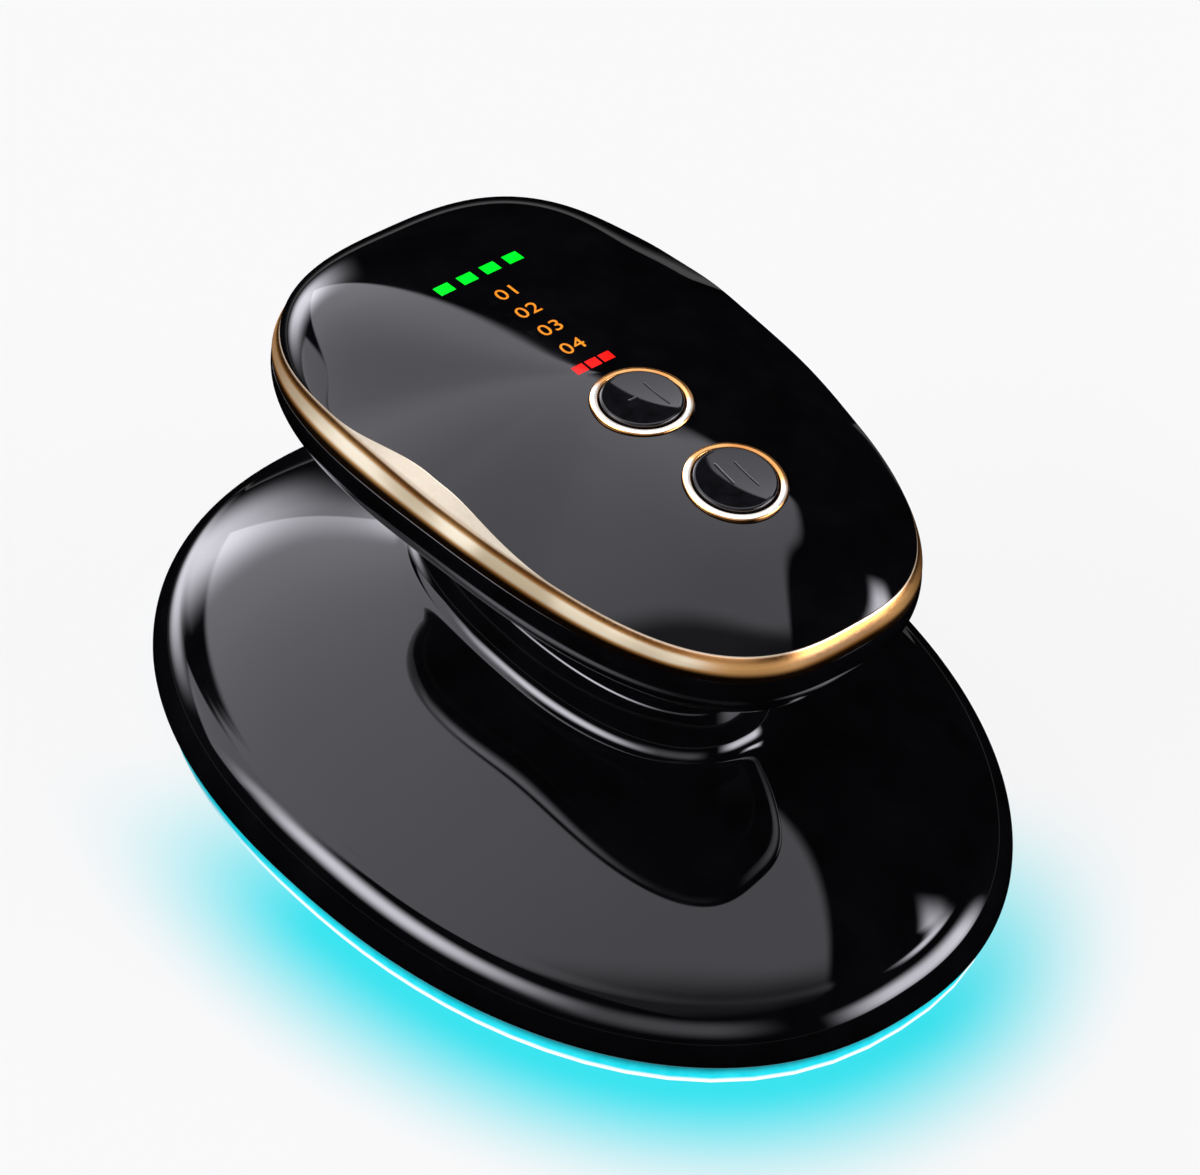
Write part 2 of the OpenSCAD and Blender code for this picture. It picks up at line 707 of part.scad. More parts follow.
module head_housing() {
    color("#0e0e10") difference() {
        union() {
            ring_loft([
                head_ring(head_edge_in, head_edge_z),
                head_ring(head_edge_in / 4, head_edge_z + 0.6),
                for (a = [0, 15, 30, 45, 56, roll_end]) roll_ring(a, 0),
                for (s = [0.2, 0.45, 0.7, 0.9, 1]) crown_ring(s, 0),
                for (a = [30, 60, 90])
                    neck_ring(neck_fillet * (sin(a) - 1), shoulder_z + neck_fillet * (1 - cos(a))),
                neck_ring(0, seam_z),
                neck_ring(neck_wall, seam_z),
                neck_ring(neck_wall, shoulder_z + neck_fillet * 0.3),
                for (s = [0.97, 0.7, 0.35]) crown_ring(s, head_wall),
                for (a = [roll_end, 40, 20]) roll_ring(a, head_wall),
                head_ring(head_inner_in, head_wide_z + 1.1),
                head_ring(head_inner_in, head_edge_z)]);
            translate([0, 0, seam_z - neck_floor]) linear_extrude(neck_floor) neck_plan(neck_wall / 2);
            for (p = neck_screw_places) translate([p[0], p[1], seam_z - neck_floor - 5])
                cylinder(r = 2 * neck_screw_r, h = 6);
        }
        for (p = neck_screw_places) translate([p[0], p[1], seam_z - neck_floor - 6])
            cylinder(r = neck_screw_r + thread_fit, h = neck_floor + 7);
        translate([0, cable_y, seam_z - neck_floor / 2]) cube(cable_slot, center = true);
    }
}

seal_in = head_inner_in + 0.05;
seal_w = 1.2;
plate_tongue_in = head_inner_in + 0.2;
plate_tongue_w = 2.3;
seal_z = skirt_top_z + 0.6;
seal_h = 1.2;

module plate_seal() {
    color("#2b2b2f") translate([0, 0, seal_z]) linear_extrude(seal_h) difference() {
        head_plan(seal_in);
        head_plan(seal_in + seal_w);
    }
}

// Plan of the outer electrodes, cut by the spokes, with rounded corners, grown by d
module pad_plan(d) {
    offset(r = 2.2 + d) offset(delta = -2.2) difference() {
        head_plan(pad_inset);
        polygon([for (t = turns) egg_point(t, channel_w / 2, channel_l / 2, 2.2, 0)]);
        square([2 * head_w, spoke_w], center = true);
        for (a = [90 - spoke_angle, 90 + spoke_angle]) rotate(a) square([2 * head_l, spoke_w], center = true);
    }
}

// Long rounded outline of width w and length l
module track_plan(w, l) {
    for (s = [-1, 1]) translate([0, s * (l - w) / 2]) circle(d = w);
    square([w, l - w], center = true);
}

// Places of the studs: the middle of each outer electrode, and both ends of the centre ring
side_stud_turn = (90 - spoke_angle) / 2;
function pad_middle(t) = (head_point(t, pad_inset) + egg_point(t, channel_w / 2, channel_l / 2, 2.2, 0)) / 2;
pad_studs = [for (t = [90, 270, side_stud_turn, 180 - side_stud_turn, 180 + side_stud_turn,
    360 - side_stud_turn]) pad_middle(t)];
ring_studs = [for (s = [-1, 1]) [0, s * ring_stud_y]];
studs = concat(pad_studs, ring_studs);
stud_top = light_board_top + 3;
boss_stud_r = stud_r + 1.6;

module treatment_plate() {
    lip = 0.9;
    pocket_clear = 0.15;
    pocket_z = pad_t;
    lip_z = pad_t - 0.9;
    color("#c8f6ff", 0.6) difference() {
        union() {
            translate([0, 0, plate_z]) linear_extrude(plate_t) head_plan(head_edge_in + 0.3);
            translate([0, 0, rim_z]) linear_extrude(plate_z - rim_z + 0.1) difference() {
                head_plan(head_edge_in + 0.3);
                head_plan(head_edge_in + 3.8);
            }
            translate([0, 0, skirt_top_z - 0.1]) linear_extrude(tongue_h + 0.1) difference() {
                head_plan(plate_tongue_in);
                head_plan(plate_tongue_in + plate_tongue_w);
            }
            translate([0, 0, lip_z]) linear_extrude(plate_z - lip_z + 0.1) pad_plan(lip);
            translate([0, 0, lip_z]) linear_extrude(plate_z - lip_z + 0.1) difference() {
                track_plan(ring_w + 2 * lip, ring_l + 2 * lip);
                track_plan(ring_w - 2 * ring_band - 2 * lip, ring_l - 2 * ring_band - 2 * lip);
            }
            for (p = studs) translate([p[0], p[1], skirt_top_z - 0.1])
                cylinder(r = boss_stud_r, h = tongue_h + 0.1);
        }
        translate([0, 0, lip_z - 1]) linear_extrude(pocket_z - lip_z + 1) pad_plan(pocket_clear);
        translate([0, 0, lip_z - 1]) linear_extrude(pocket_z - lip_z + 1) difference() {
            track_plan(ring_w + 2 * pocket_clear, ring_l + 2 * pocket_clear);
            track_plan(ring_w - 2 * ring_band - 2 * pocket_clear, ring_l - 2 * ring_band - 2 * pocket_clear);
        }
        for (p = studs) translate([p[0], p[1], 0]) cylinder(r = stud_r + slip, h = 20);
        translate([0, 0, seal_z]) linear_extrude(seal_h) difference() {
            head_plan(plate_tongue_in - 1);
            head_plan(seal_in + seal_w);
        }
    }
}

module stud(p) {
    translate([p[0], p[1], pad_t - 0.1]) cylinder(r = stud_r, h = stud_top - pad_t + 0.1);
}

module outer_electrodes() {
    color("#e6e6ea") {
        linear_extrude(pad_t) pad_plan(0);
        for (p = pad_studs) stud(p);
    }
}

module centre_electrode() {
    color("#e6e6ea") {
        linear_extrude(pad_t) difference() {
            track_plan(ring_w, ring_l);
            track_plan(ring_w - 2 * ring_band, ring_l - 2 * ring_band);
        }
        for (p = ring_studs) stud(p);
    }
}

module electrode_nuts() {
    color("#c9a04a") for (p = studs) translate([p[0], p[1], light_board_top]) difference() {
        cylinder(r = nut_r, h = 2.2, $fn = 6);
        translate([0, 0, -1]) cylinder(r = stud_r + thread_fit, h = 5);
    }
}

module light_board() {
    color("#f2f2ee") difference() {
        translate([0, 0, light_board_z]) linear_extrude(board_t) head_plan(light_board_in);
        for (p = studs) translate([p[0], p[1], 0]) cylinder(r = stud_r + 0.15, h = 20);
    }
}

module square_led(x, y, turn) {
    translate([x, y, light_board_z - 1.4]) rotate(turn) translate([-2.5, -2.5, 0]) cube([5, 5, 1.4]);
}

// Twelve lights on the middle line of the channel round the ring, and five in the ring's slot
channel_mid_w = (channel_w + ring_w) / 2;
channel_mid_l = (channel_l + ring_l) / 2;

module treatment_leds() {
    color("#fffbe0") {
        for (t = [0:30:330]) square_led(channel_mid_w / 2 * sin(t), channel_mid_l / 2 * cos(t), 0);
        for (k = [-2:2]) square_led(0, k * (ring_l - 2 * ring_band - 8) / 5, 0);
    }
}

module edge_leds() {
    color("#d6ffff") for (i = [0:15]) let (p = head_point(i * 22.5 + 11.25, light_board_in + 3))
        translate([p[0], p[1], light_board_z - 1.2]) rotate(i * 22.5 + 11.25)
            translate([-1.4, -1.75, 0]) cube([2.8, 3.5, 1.2]);
}

transformer_y = -12;
transformer_r = 10;

module transformer_core() {
    color("#3b3b40") translate([0, transformer_y, light_board_top]) difference() {
        union() {
            cylinder(r = transformer_r, h = 3);
            translate([0, 0, 9]) cylinder(r = transformer_r, h = 3);
            cylinder(r = 4, h = 12);
            for (s = [-1, 1]) translate([s * (transformer_r - 1.5) - 1.5, -4, 0]) cube([3, 8, 12]);
        }
        translate([0, 0, -1]) cylinder(r = 1.5, h = 14);
    }
}

module transformer_winding() {
    color("#b5652a") translate([0, transformer_y, light_board_top + 3.1]) rotate_extrude()
        translate([4.2, 0]) square([2.6, 5.8]);
}

grip_top_shell();
trim_band();
grip_lower_shell();
power_bezel();
mode_bezel();
power_button();
mode_button();
power_plunger();
mode_plunger();
power_switch();
mode_switch();
charge_light_pipe();
mode_light_pipe();
level_light_pipe();
indicator_leds();
main_board();
control_chip();
board_screws();
battery();
battery_pad();
battery_cradle();
charge_board();
charge_board_screws();
charging_socket();
board_header();
ribbon_cable();
cable_connectors();
neck_screws();
head_housing();
plate_seal();
treatment_plate();
outer_electrodes();
centre_electrode();
electrode_nuts();
light_board();
treatment_leds();
edge_leds();
transformer_core();
transformer_winding();
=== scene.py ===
# %% [markdown]
# # A body contouring device, dressed for its picture
# The CAD model gives every part its place. This lesson gives the parts that are seen their polished
# skins, gives every part its finish, and builds a small studio round them. All lengths in the code are
# millimetres, and they turn into metres when a mesh is made.

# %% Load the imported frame
from math import cos, pi, radians, sin, sqrt

import bmesh
import bpy
import numpy as np
from mathutils import Matrix, Vector


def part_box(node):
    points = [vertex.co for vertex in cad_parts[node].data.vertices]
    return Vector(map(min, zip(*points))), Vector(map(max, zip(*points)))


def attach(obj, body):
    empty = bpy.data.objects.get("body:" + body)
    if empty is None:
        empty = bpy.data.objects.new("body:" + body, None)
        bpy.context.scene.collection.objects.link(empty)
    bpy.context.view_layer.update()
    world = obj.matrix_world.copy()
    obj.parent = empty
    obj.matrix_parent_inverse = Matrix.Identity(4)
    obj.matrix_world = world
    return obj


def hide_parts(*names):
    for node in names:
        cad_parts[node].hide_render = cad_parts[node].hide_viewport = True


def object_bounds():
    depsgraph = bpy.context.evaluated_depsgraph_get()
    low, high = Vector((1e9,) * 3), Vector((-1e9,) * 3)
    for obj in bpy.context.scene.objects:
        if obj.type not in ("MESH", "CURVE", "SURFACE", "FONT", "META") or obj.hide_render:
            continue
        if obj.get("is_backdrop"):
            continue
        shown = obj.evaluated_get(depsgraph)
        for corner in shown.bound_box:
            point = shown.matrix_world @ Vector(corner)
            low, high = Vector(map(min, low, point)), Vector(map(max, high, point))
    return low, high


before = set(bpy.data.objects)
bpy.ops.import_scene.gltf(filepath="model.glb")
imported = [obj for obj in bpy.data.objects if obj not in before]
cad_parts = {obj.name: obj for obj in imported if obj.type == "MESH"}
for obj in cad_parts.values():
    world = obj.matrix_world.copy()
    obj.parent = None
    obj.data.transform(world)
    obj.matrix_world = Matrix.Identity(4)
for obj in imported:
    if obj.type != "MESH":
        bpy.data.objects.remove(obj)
cad_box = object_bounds()
MM = 0.001

# %% [markdown]
# ## Sizes of the shells
# The head, the neck and the grip are smooth skins over egg-shaped ovals. An oval is told by its half
# width, its half length, how square it is and how much wider one end is. Nearly all heights are the ones
# of the CAD model. The head's crown is lower near the neck, because the photograph's reflections ask for it.

# %% Sizes in millimetres
HEAD = dict(half_w=52.4, half_l=70.0, square=2.22, egg=0.05)
NECK = dict(half_w=14.3, half_l=31.0, square=2.3, egg=0.0)
GRIP = dict(half_w=30.5, half_l=51.0, square=2.85, egg=0.12)
grip_length = 2 * GRIP["half_l"]

head_edge_z, head_wide_z, head_roll, head_rise = 4.6, 6.1, 8.0, 15.0
roll_end = radians(65)
roll_top_z = head_wide_z + head_roll * sin(roll_end)
seam_z = 33.85
underside_z, grip_roll, under_end = seam_z + 15.0, 9.4, radians(75)
grip_wide_z = underside_z + grip_roll * sin(under_end)
grip_edge_z = grip_wide_z + 1.2
dome_z, trim_lean = grip_edge_z + 3.6, 1.1
dome_h, rim_round, side_power, end_power, end_round = 8.85, 2.8, 2.4, 3.8, 2.0
crown_z = dome_z + dome_h
power_y, mode_y = -7.4, -26.4
print("crown of the grip at", round(crown_z, 2), "mm")

# %% [markdown]
# ## Helpers for node trees
# A node tree can be wired by hand, but a long sum takes many nodes and hides what it says. Here a value
# that comes out of a node can be added, multiplied and raised like a plain number, and each such sum adds
# its Math node. The helpers serve the shapes and the finishes alike.

# %% Node helpers
class Num:
    """A value in a node tree. Sums that use it add Math nodes."""

    def __init__(self, tree, socket):
        self.tree, self.socket, self.node = tree, socket, socket.node

    def __abs__(self):
        return calc(self.tree, "ABSOLUTE", self)


SIGNS = dict(add="ADD", sub="SUBTRACT", mul="MULTIPLY", truediv="DIVIDE", pow="POWER")
for sign, operation in SIGNS.items():
    setattr(Num, f"__{sign}__", lambda self, other, o=operation: calc(self.tree, o, self, other))
    setattr(Num, f"__r{sign}__", lambda self, other, o=operation: calc(self.tree, o, other, self))


def wire(tree, socket, value):
    """Links a socket, or writes a plain value into it."""
    value = value.socket if isinstance(value, Num) else value
    if isinstance(value, bpy.types.NodeSocket):
        tree.links.new(value, socket)
    elif value is not None:
        socket.default_value = value


def add_node(tree, kind, *values, out=0, **settings):
    """Adds a node, fills its inputs in order, and returns one of its outputs."""
    node = tree.nodes.new(kind)
    for key, value in settings.items():
        setattr(node, key, value)
    for socket, value in zip(node.inputs, values):
        wire(tree, socket, value)
    return Num(tree, node.outputs[out])


def calc(tree, operation, *values, kind="ShaderNodeMath"):
    return add_node(tree, kind, *values, operation=operation)


def vector(tree, x, y, z):
    return add_node(tree, "ShaderNodeCombineXYZ", x, y, z)


def scaled(tree, value, factor):
    return calc(tree, "SCALE", value, None, None, factor, kind="ShaderNodeVectorMath")


def named_value(tree, name):
    return add_node(tree, "GeometryNodeInputNamedAttribute", name, data_type="FLOAT")


def new_group(kind, name, inputs, outputs):
    """An empty node group. An input is told by its plain value, or by the kind of its socket."""
    tree = bpy.data.node_groups.new(name, kind)
    for label, value in inputs.items():
        plain = not isinstance(value, str)
        socket_kind = "NodeSocketFloat" if plain else "NodeSocket" + value
        socket = tree.interface.new_socket(name=label, in_out="INPUT", socket_type=socket_kind)
        if plain:
            socket.default_value = value
    for label, value in outputs.items():
        tree.interface.new_socket(name=label, in_out="OUTPUT", socket_type="NodeSocket" + value)
    return tree, tree.nodes.new("NodeGroupInput").outputs, tree.nodes.new("NodeGroupOutput").inputs


print("node helpers are ready, with sums for", ", ".join(SIGNS))

# %% [markdown]
# ## A rule for every skin
# A moulded shell can be pushed and pulled by hand, but a glossy one shows every bump. Here a shell starts
# as a flat pattern: rows of points, each with a turn round the oval, a distance in from the outline and a
# height. A Geometry Nodes tree wraps the pattern round the oval. One rule makes all shells, rings and
# caps, and its named inputs hold the shape of the oval.

# %% The oval skin tree
MERGE_DISTANCE_M = 1e-6


def oval_nodes(tree, source, end, inset):
    """X and Y of a point of the oval whose shape is given by the inputs that end in A or B."""
    turn, inset = named_value(tree, "turn"), named_value(tree, inset)
    half_w, half_l = (source[f"{side} {end}"] - inset for side in ("Half width", "Half length"))
    square = Num(tree, source["Squareness " + end])
    cosine, sine = calc(tree, "COSINE", turn), calc(tree, "SINE", turn)
    reach = (abs(cosine / half_w) ** square + abs(sine / half_l) ** square) ** (-1.0 / square)
    y = reach * sine
    return reach * cosine * (y / half_l * source["Egg share " + end] + 1.0), y


def make_oval_tree():
    inputs = {"Pattern": "Geometry", "Centre along Y": 0.0, "Finish": "Material"}
    for end in "AB":
        inputs.update({"Half width " + end: 10.0, "Half length " + end: 10.0,
                       "Squareness " + end: 2.0, "Egg share " + end: 0.0})
    tree, source, result = new_group("GeometryNodeTree", "oval_skin", inputs, {"Skin": "Geometry"})
    ovals = zip(oval_nodes(tree, source, "A", "inset"), oval_nodes(tree, source, "B", "inset_b"))
    blend, share = named_value(tree, "blend"), named_value(tree, "share")
    x, y = (add_node(tree, "ShaderNodeMix", blend, None, a, b) * share for a, b in ovals)
    place = vector(tree, x, y + source["Centre along Y"], named_value(tree, "height"))
    moved = add_node(tree, "GeometryNodeSetPosition", source["Pattern"], True, scaled(tree, place, MM))
    merged = add_node(tree, "GeometryNodeMergeByDistance", moved, True)
    wire(tree, merged.node.inputs["Distance"], MERGE_DISTANCE_M)
    real = add_node(tree, "GeometryNodeRealizeInstances", merged)
    wire(tree, result["Skin"], add_node(tree, "GeometryNodeSetMaterial", real, True, source["Finish"]))
    return tree


OVAL_TREE = make_oval_tree()
print("oval skin tree:", len(OVAL_TREE.nodes), "nodes")

# %% [markdown]
# ## Finishes: four shared effects
# Real surfaces are never one flat value. Plastic has a fine grain and a few fingerprints, turned metal
# has fine lines, and light in clear plastic is strongest near its lamps. A fourth effect marks a small
# pressed slot. Each is a node group, built once, that puts out masks and values. The shader itself stays
# in each material.

# %% Shader node groups
def shader_group(name, inputs, outputs):
    return new_group("ShaderNodeTree", name, inputs, dict.fromkeys(outputs, "Float"))


def place_mm(tree):
    """Place on the object in millimetres."""
    return scaled(tree, add_node(tree, "ShaderNodeTexCoord", out=3), 1 / MM)


def split_xyz(tree, place):
    node = add_node(tree, "ShaderNodeSeparateXYZ", place).node
    return [Num(tree, socket) for socket in node.outputs]


def ramp(tree, value, low, high, out_low=0.0, out_high=1.0, smooth=True):
    kind = "SMOOTHSTEP" if smooth else "LINEAR"
    return add_node(tree, "ShaderNodeMapRange", value, low, high, out_low, out_high, interpolation_type=kind)


def make_grain():
    tree, source, result = shader_group("grain", {"Size mm": 1.0, "Detail": 3.0}, ["Shade"])
    scale = calc(tree, "DIVIDE", 1.0, source["Size mm"])
    noise = add_node(tree, "ShaderNodeTexNoise", place_mm(tree), None, scale, source["Detail"], 0.6)
    wire(tree, result["Shade"], ramp(tree, noise, 0.25, 0.75))
    return tree


def make_lines():
    tree, source, result = shader_group("turned_lines", {"Pitch mm": 0.3, "Stretch": 12.0}, ["Shade"])
    pitch = source["Pitch mm"]
    size = vector(tree, pitch, calc(tree, "MULTIPLY", pitch, source["Stretch"]), pitch)
    place = calc(tree, "DIVIDE", place_mm(tree), size, kind="ShaderNodeVectorMath")
    noise = add_node(tree, "ShaderNodeTexNoise", place, None, 1.0, 2.0, 0.5)
    wire(tree, result["Shade"], ramp(tree, noise, 0.3, 0.7))
    return tree


SKIRT_INSET, GLOW_SIDE = 1.3, radians(-130)


def make_oval_place():
    """How far a point lies outside the head's oval, and how strong the light is on that side."""
    names = ["Beyond mm", "Strength", "Height mm"]
    tree, source, result = shader_group("round_the_head", {"Inset mm": SKIRT_INSET}, names)
    x, y, z = split_xyz(tree, place_mm(tree))
    half_w, half_l = (HEAD[key] - Num(tree, source["Inset mm"]) for key in ("half_w", "half_l"))
    across = abs(x / (half_w * (y / half_l * HEAD["egg"] + 1.0)))
    share = (across ** HEAD["square"] + abs(y / half_l) ** HEAD["square"]) ** (1 / HEAD["square"])
    beyond = calc(tree, "SQRT", x * x + y * y) * (1.0 - 1.0 / share)
    side, middle = calc(tree, "COSINE", calc(tree, "ARCTAN2", y, x) - GLOW_SIDE), 0.55
    strength = ramp(tree, share, 0.3, 0.9) * (ramp(tree, side, 0.02, 0.74) - middle) + middle
    for name, value in zip(names, (beyond, strength, z)):
        wire(tree, result[name], value)
    return tree


def make_slot_mark():
    """A short straight slot: 1 inside its outline, 0 outside."""
    sizes = {"Centre X": 0.0, "Centre Y": 0.0, "Half X": 1.0, "Half Y": 0.2}
    tree, source, result = shader_group("slot_mark", sizes, ["Inside"])
    inside = 1.0
    for axis, spot in zip("XY", split_xyz(tree, place_mm(tree))):
        past = abs(spot - source["Centre " + axis]) - source["Half " + axis]
        inside = inside * ramp(tree, past, 0.07, -0.07)
    wire(tree, result["Inside"], inside)
    return tree


GRAIN, LINES, ROUND_HEAD, SLOT_MARK = make_grain(), make_lines(), make_oval_place(), make_slot_mark()
print("shared effects:", GRAIN.name, LINES.name, ROUND_HEAD.name, SLOT_MARK.name)

# %% [markdown]
# ## Finishes: one maker for all materials
# Every finish is a Principled shader with its plain numbers on its own sockets. Its colour and its
# roughness swing a little with a shared effect, which is what makes a surface look touched and made.

# %% Material helpers
def group_node(tree, group, **values):
    node = tree.nodes.new("ShaderNodeGroup")
    node.node_tree = group
    for key, value in values.items():
        wire(tree, node.inputs[key.replace("_", " ")], value)
    return node.outputs


def grain(tree, size, detail):
    return group_node(tree, GRAIN, Size_mm=size, Detail=detail)["Shade"]


def mix_colour(tree, mask, first, second):
    """A mix of two colours, each given as a plain colour or as a socket."""
    first, second = ((*c, 1) if isinstance(c, (tuple, list)) else c for c in (first, second))
    return add_node(tree, "ShaderNodeMix", mask, *[None] * 5, first, second, out=2, data_type="RGBA")


def new_finish(name, **sockets):
    """A material with a Principled shader, whose plain numbers sit on its own sockets."""
    made = bpy.data.materials.new(name)
    made.use_nodes = True
    shader = made.node_tree.nodes["Principled BSDF"]
    for key, value in sockets.items():
        shader.inputs[key.replace("_", " ")].default_value = value
    return made, made.node_tree, shader.inputs


def textured(name, low, high, rough, size=1.0, detail=3.0, effect=None, bump=0.0, **sockets):
    """A finish that swings between two colours and two roughnesses with the grain or the lines."""
    made, tree, into = new_finish(name, **sockets)
    if effect is LINES:
        shade = group_node(tree, LINES, Pitch_mm=size, Stretch=detail)["Shade"]
    else:
        shade = grain(tree, size, detail)
    wire(tree, into["Base Color"], mix_colour(tree, shade, low, high))
    wire(tree, into["Roughness"], ramp(tree, shade, 0, 1, *rough))
    if bump:
        wire(tree, into["Normal"], bump_node(tree, shade, bump))
    return made


def bump_node(tree, height, depth_mm):
    node = tree.nodes.new("ShaderNodeBump")
    wire(tree, node.inputs["Strength"], 1.0)
    wire(tree, node.inputs["Distance"], depth_mm * MM)
    wire(tree, node.inputs["Height"], height)
    return node.outputs[0]


def dress(node_name, finish):
    """Gives a CAD part its finish."""
    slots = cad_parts[node_name].data.materials
    for k in range(len(slots)):
        slots[k] = finish
    if not len(slots):
        slots.append(finish)


print("helpers for finishes are ready")

# %% [markdown]
# ## Finishes: the polished skins
# The shells are piano black: almost no colour of their own, and a clear, even gloss that mirrors the
# lamps. The band is gold plating with a satin touch, so lamps spread along it into soft stripes. On top of
# that its reflection is painted: a white, glowing stripe up its round face with copper towards the face's
# edges, and a cream highlight, paler and more even than the face, on its flat shoulder.

# %% Black, gold and chrome
PLASTIC_IOR = 1.5
BLACK = ((0.001, 0.001, 0.0012), (0.0022, 0.0022, 0.0026))
piano_black = textured("piano_black", *BLACK, (0.02, 0.035), 9.0, IOR=PLASTIC_IOR)
# centre X, centre Y, half width and half length of each slot
CAP_SLOTS = ((2.4, power_y - 0.2, 0.09, 2.7), (-0.7, power_y + 0.9, 0.85, 0.16),
             (-0.5, mode_y + 1.7, 0.16, 2.0), (2.0, mode_y + 0.1, 0.1, 2.5))


def make_cap_black():
    """The button's black with four shallow slots pressed into the caps."""
    made, tree, into = new_finish("cap_black", IOR=PLASTIC_IOR)
    dark, light = (0.003, 0.003, 0.0035), (0.006, 0.006, 0.007)
    wire(tree, into["Base Color"], mix_colour(tree, grain(tree, 2.0, 3.0), dark, light))
    slots = None
    for x, y, half_x, half_y in CAP_SLOTS:
        mark = group_node(tree, SLOT_MARK, Centre_X=x, Centre_Y=y, Half_X=half_x, Half_Y=half_y)["Inside"]
        slots = calc(tree, "MAXIMUM", slots, mark) if slots else mark
    wire(tree, into["Roughness"], ramp(tree, slots, 0, 1, 0.04, 0.3))
    wire(tree, into["Normal"], bump_node(tree, 1.0 - slots, 0.12))
    return made


def make_gold(name, rough, core, patch, white):
    """Gold that paints its reflection: attribute "core" runs from copper edges to a white middle that glows,
    and attribute "shoulder" gives the flat shoulder a cream glow.
    """
    made, tree, into = new_finish(name, Metallic=1.0)
    shade, fine = grain(tree, patch, 1.0), grain(tree, 0.5, 4.0)
    painted_reflection = add_node(tree, "ShaderNodeAttribute", attribute_name="core", out=2)
    painted_shoulder = add_node(tree, "ShaderNodeAttribute", attribute_name="shoulder", out=2)
    # Colours that paint the reflection: copper at the face's edges, then amber, white in its middle, and
    # cream on the shoulder.
    edge = mix_colour(tree, shade, (0.42, 0.17, 0.045), (0.74, 0.36, 0.12))
    amber = mix_colour(tree, shade, (0.80, 0.33, 0.08), (0.88, 0.48, 0.18))
    middle = mix_colour(tree, shade, [c * c for c in white], white)
    warm = mix_colour(tree, ramp(tree, painted_reflection, 0.0, 0.5), edge, amber)
    face = mix_colour(tree, ramp(tree, painted_reflection, 0.42, 0.95), warm, middle)
    cream = mix_colour(tree, fine, (0.96, 0.82, 0.66), (0.99, 0.88, 0.74))
    both = mix_colour(tree, painted_shoulder, face, cream)
    wire(tree, into["Base Color"], both)
    wire(tree, into["Emission Color"], both)
    # The glow is a painted highlight on the white middle and on the shoulder, patchy with the grain.
    patchy_glow = painted_reflection * ramp(tree, shade, 0.0, 1.0, 0.5, 1.0)
    wire(tree, into["Emission Strength"], calc(tree, "MAXIMUM", patchy_glow, painted_shoulder * 0.8) * core)
    wire(tree, into["Roughness"], ramp(tree, fine, 0, 1, *rough))
    return made


cap_black = make_cap_black()
band_gold = make_gold("band_gold", (0.2, 0.26), 0.95, 13.0, (1.0, 0.9, 0.74))
bezel_gold = make_gold("bezel_gold", (0.16, 0.22), 0.95, 6.0, (1.0, 0.97, 0.93))
electrode_chrome = textured("electrode_chrome", (0.8, 0.8, 0.82), (0.9, 0.9, 0.91), (0.06, 0.12), 4.0,
                            Metallic=1.0)
print("polished finishes:", piano_black.name, cap_black.name, band_gold.name, electrode_chrome.name)

# %% [markdown]
# ## Finishes: lit plastic
# A light pipe glows where its lamp stands behind it. The head's clear skirt carries cyan light and is
# brightest at its lower edge, where the light leaves it. Both glow a little unevenly.

# %% Lights and clear plastic
def lit_pipe(name, core, rim, strength):
    made, tree, into = new_finish(name, Roughness=0.12, Emission_Strength=strength, Specular_IOR_Level=0.15)
    shade = grain(tree, 1.1, 2.0)
    dim_rim, dim_core = ([0.25 * c for c in colour] for colour in (rim, core))
    wire(tree, into["Base Color"], mix_colour(tree, shade, dim_rim, dim_core))
    wire(tree, into["Emission Color"], mix_colour(tree, shade, rim, core))
    return made


green_light = lit_pipe("green_light", (0.0, 1.0, 0.03), (0.0, 0.86, 0.01), 1.0)
red_light = lit_pipe("red_light", (1.0, 0.012, 0.008), (0.86, 0.006, 0.004), 1.0)
legend_orange = lit_pipe("legend_orange", (0.95, 0.32, 0.02), (0.75, 0.2, 0.01), 0.95)
smoked_pipe = textured("smoked_pipe", *BLACK, (0.03, 0.05), 3.0, IOR=PLASTIC_IOR)


def make_skirt():
    made, tree, into = new_finish("lit_skirt", Transmission_Weight=0.05, IOR=1.49, Emission_Strength=1.0)
    around = group_node(tree, ROUND_HEAD, Inset_mm=SKIRT_INSET)
    shade = grain(tree, 2.5, 3.0)
    edge = ramp(tree, around["Height mm"], 2.1, 1.5)
    deep = ramp(tree, around["Height mm"], 4.4, 2.2)
    rim = ramp(tree, around["Beyond mm"], -7, -3)
    body = mix_colour(tree, shade, (0.0, 0.66, 0.78), (0.02, 0.74, 0.86))
    low = mix_colour(tree, around["Strength"], (0.0, 0.30, 0.36), body)
    glow = mix_colour(tree, deep, (0.0, 0.035, 0.045), low)
    hot = edge * rim * around["Strength"]
    wire(tree, into["Emission Color"], mix_colour(tree, hot, glow, (1.0, 1.0, 1.0)))
    wire(tree, into["Base Color"], mix_colour(tree, shade, (0.005, 0.09, 0.11), (0.01, 0.12, 0.14)))
    wire(tree, into["Roughness"], ramp(tree, shade, 0, 1, 0.06, 0.12))
    return made


lit_skirt = make_skirt()
print("lit finishes:", green_light.name, red_light.name, legend_orange.name, lit_skirt.name)

# %% [markdown]
# ## Finishes: the parts inside
# The inside is seen when the device is taken apart. Boards have a fine mask over copper, screws have
# turned lines, foil and foam have grain. Each CAD part keeps its shape and only gets its finish here.

# %% Dress the parts inside
TURNED = dict(effect=LINES, Metallic=1.0)
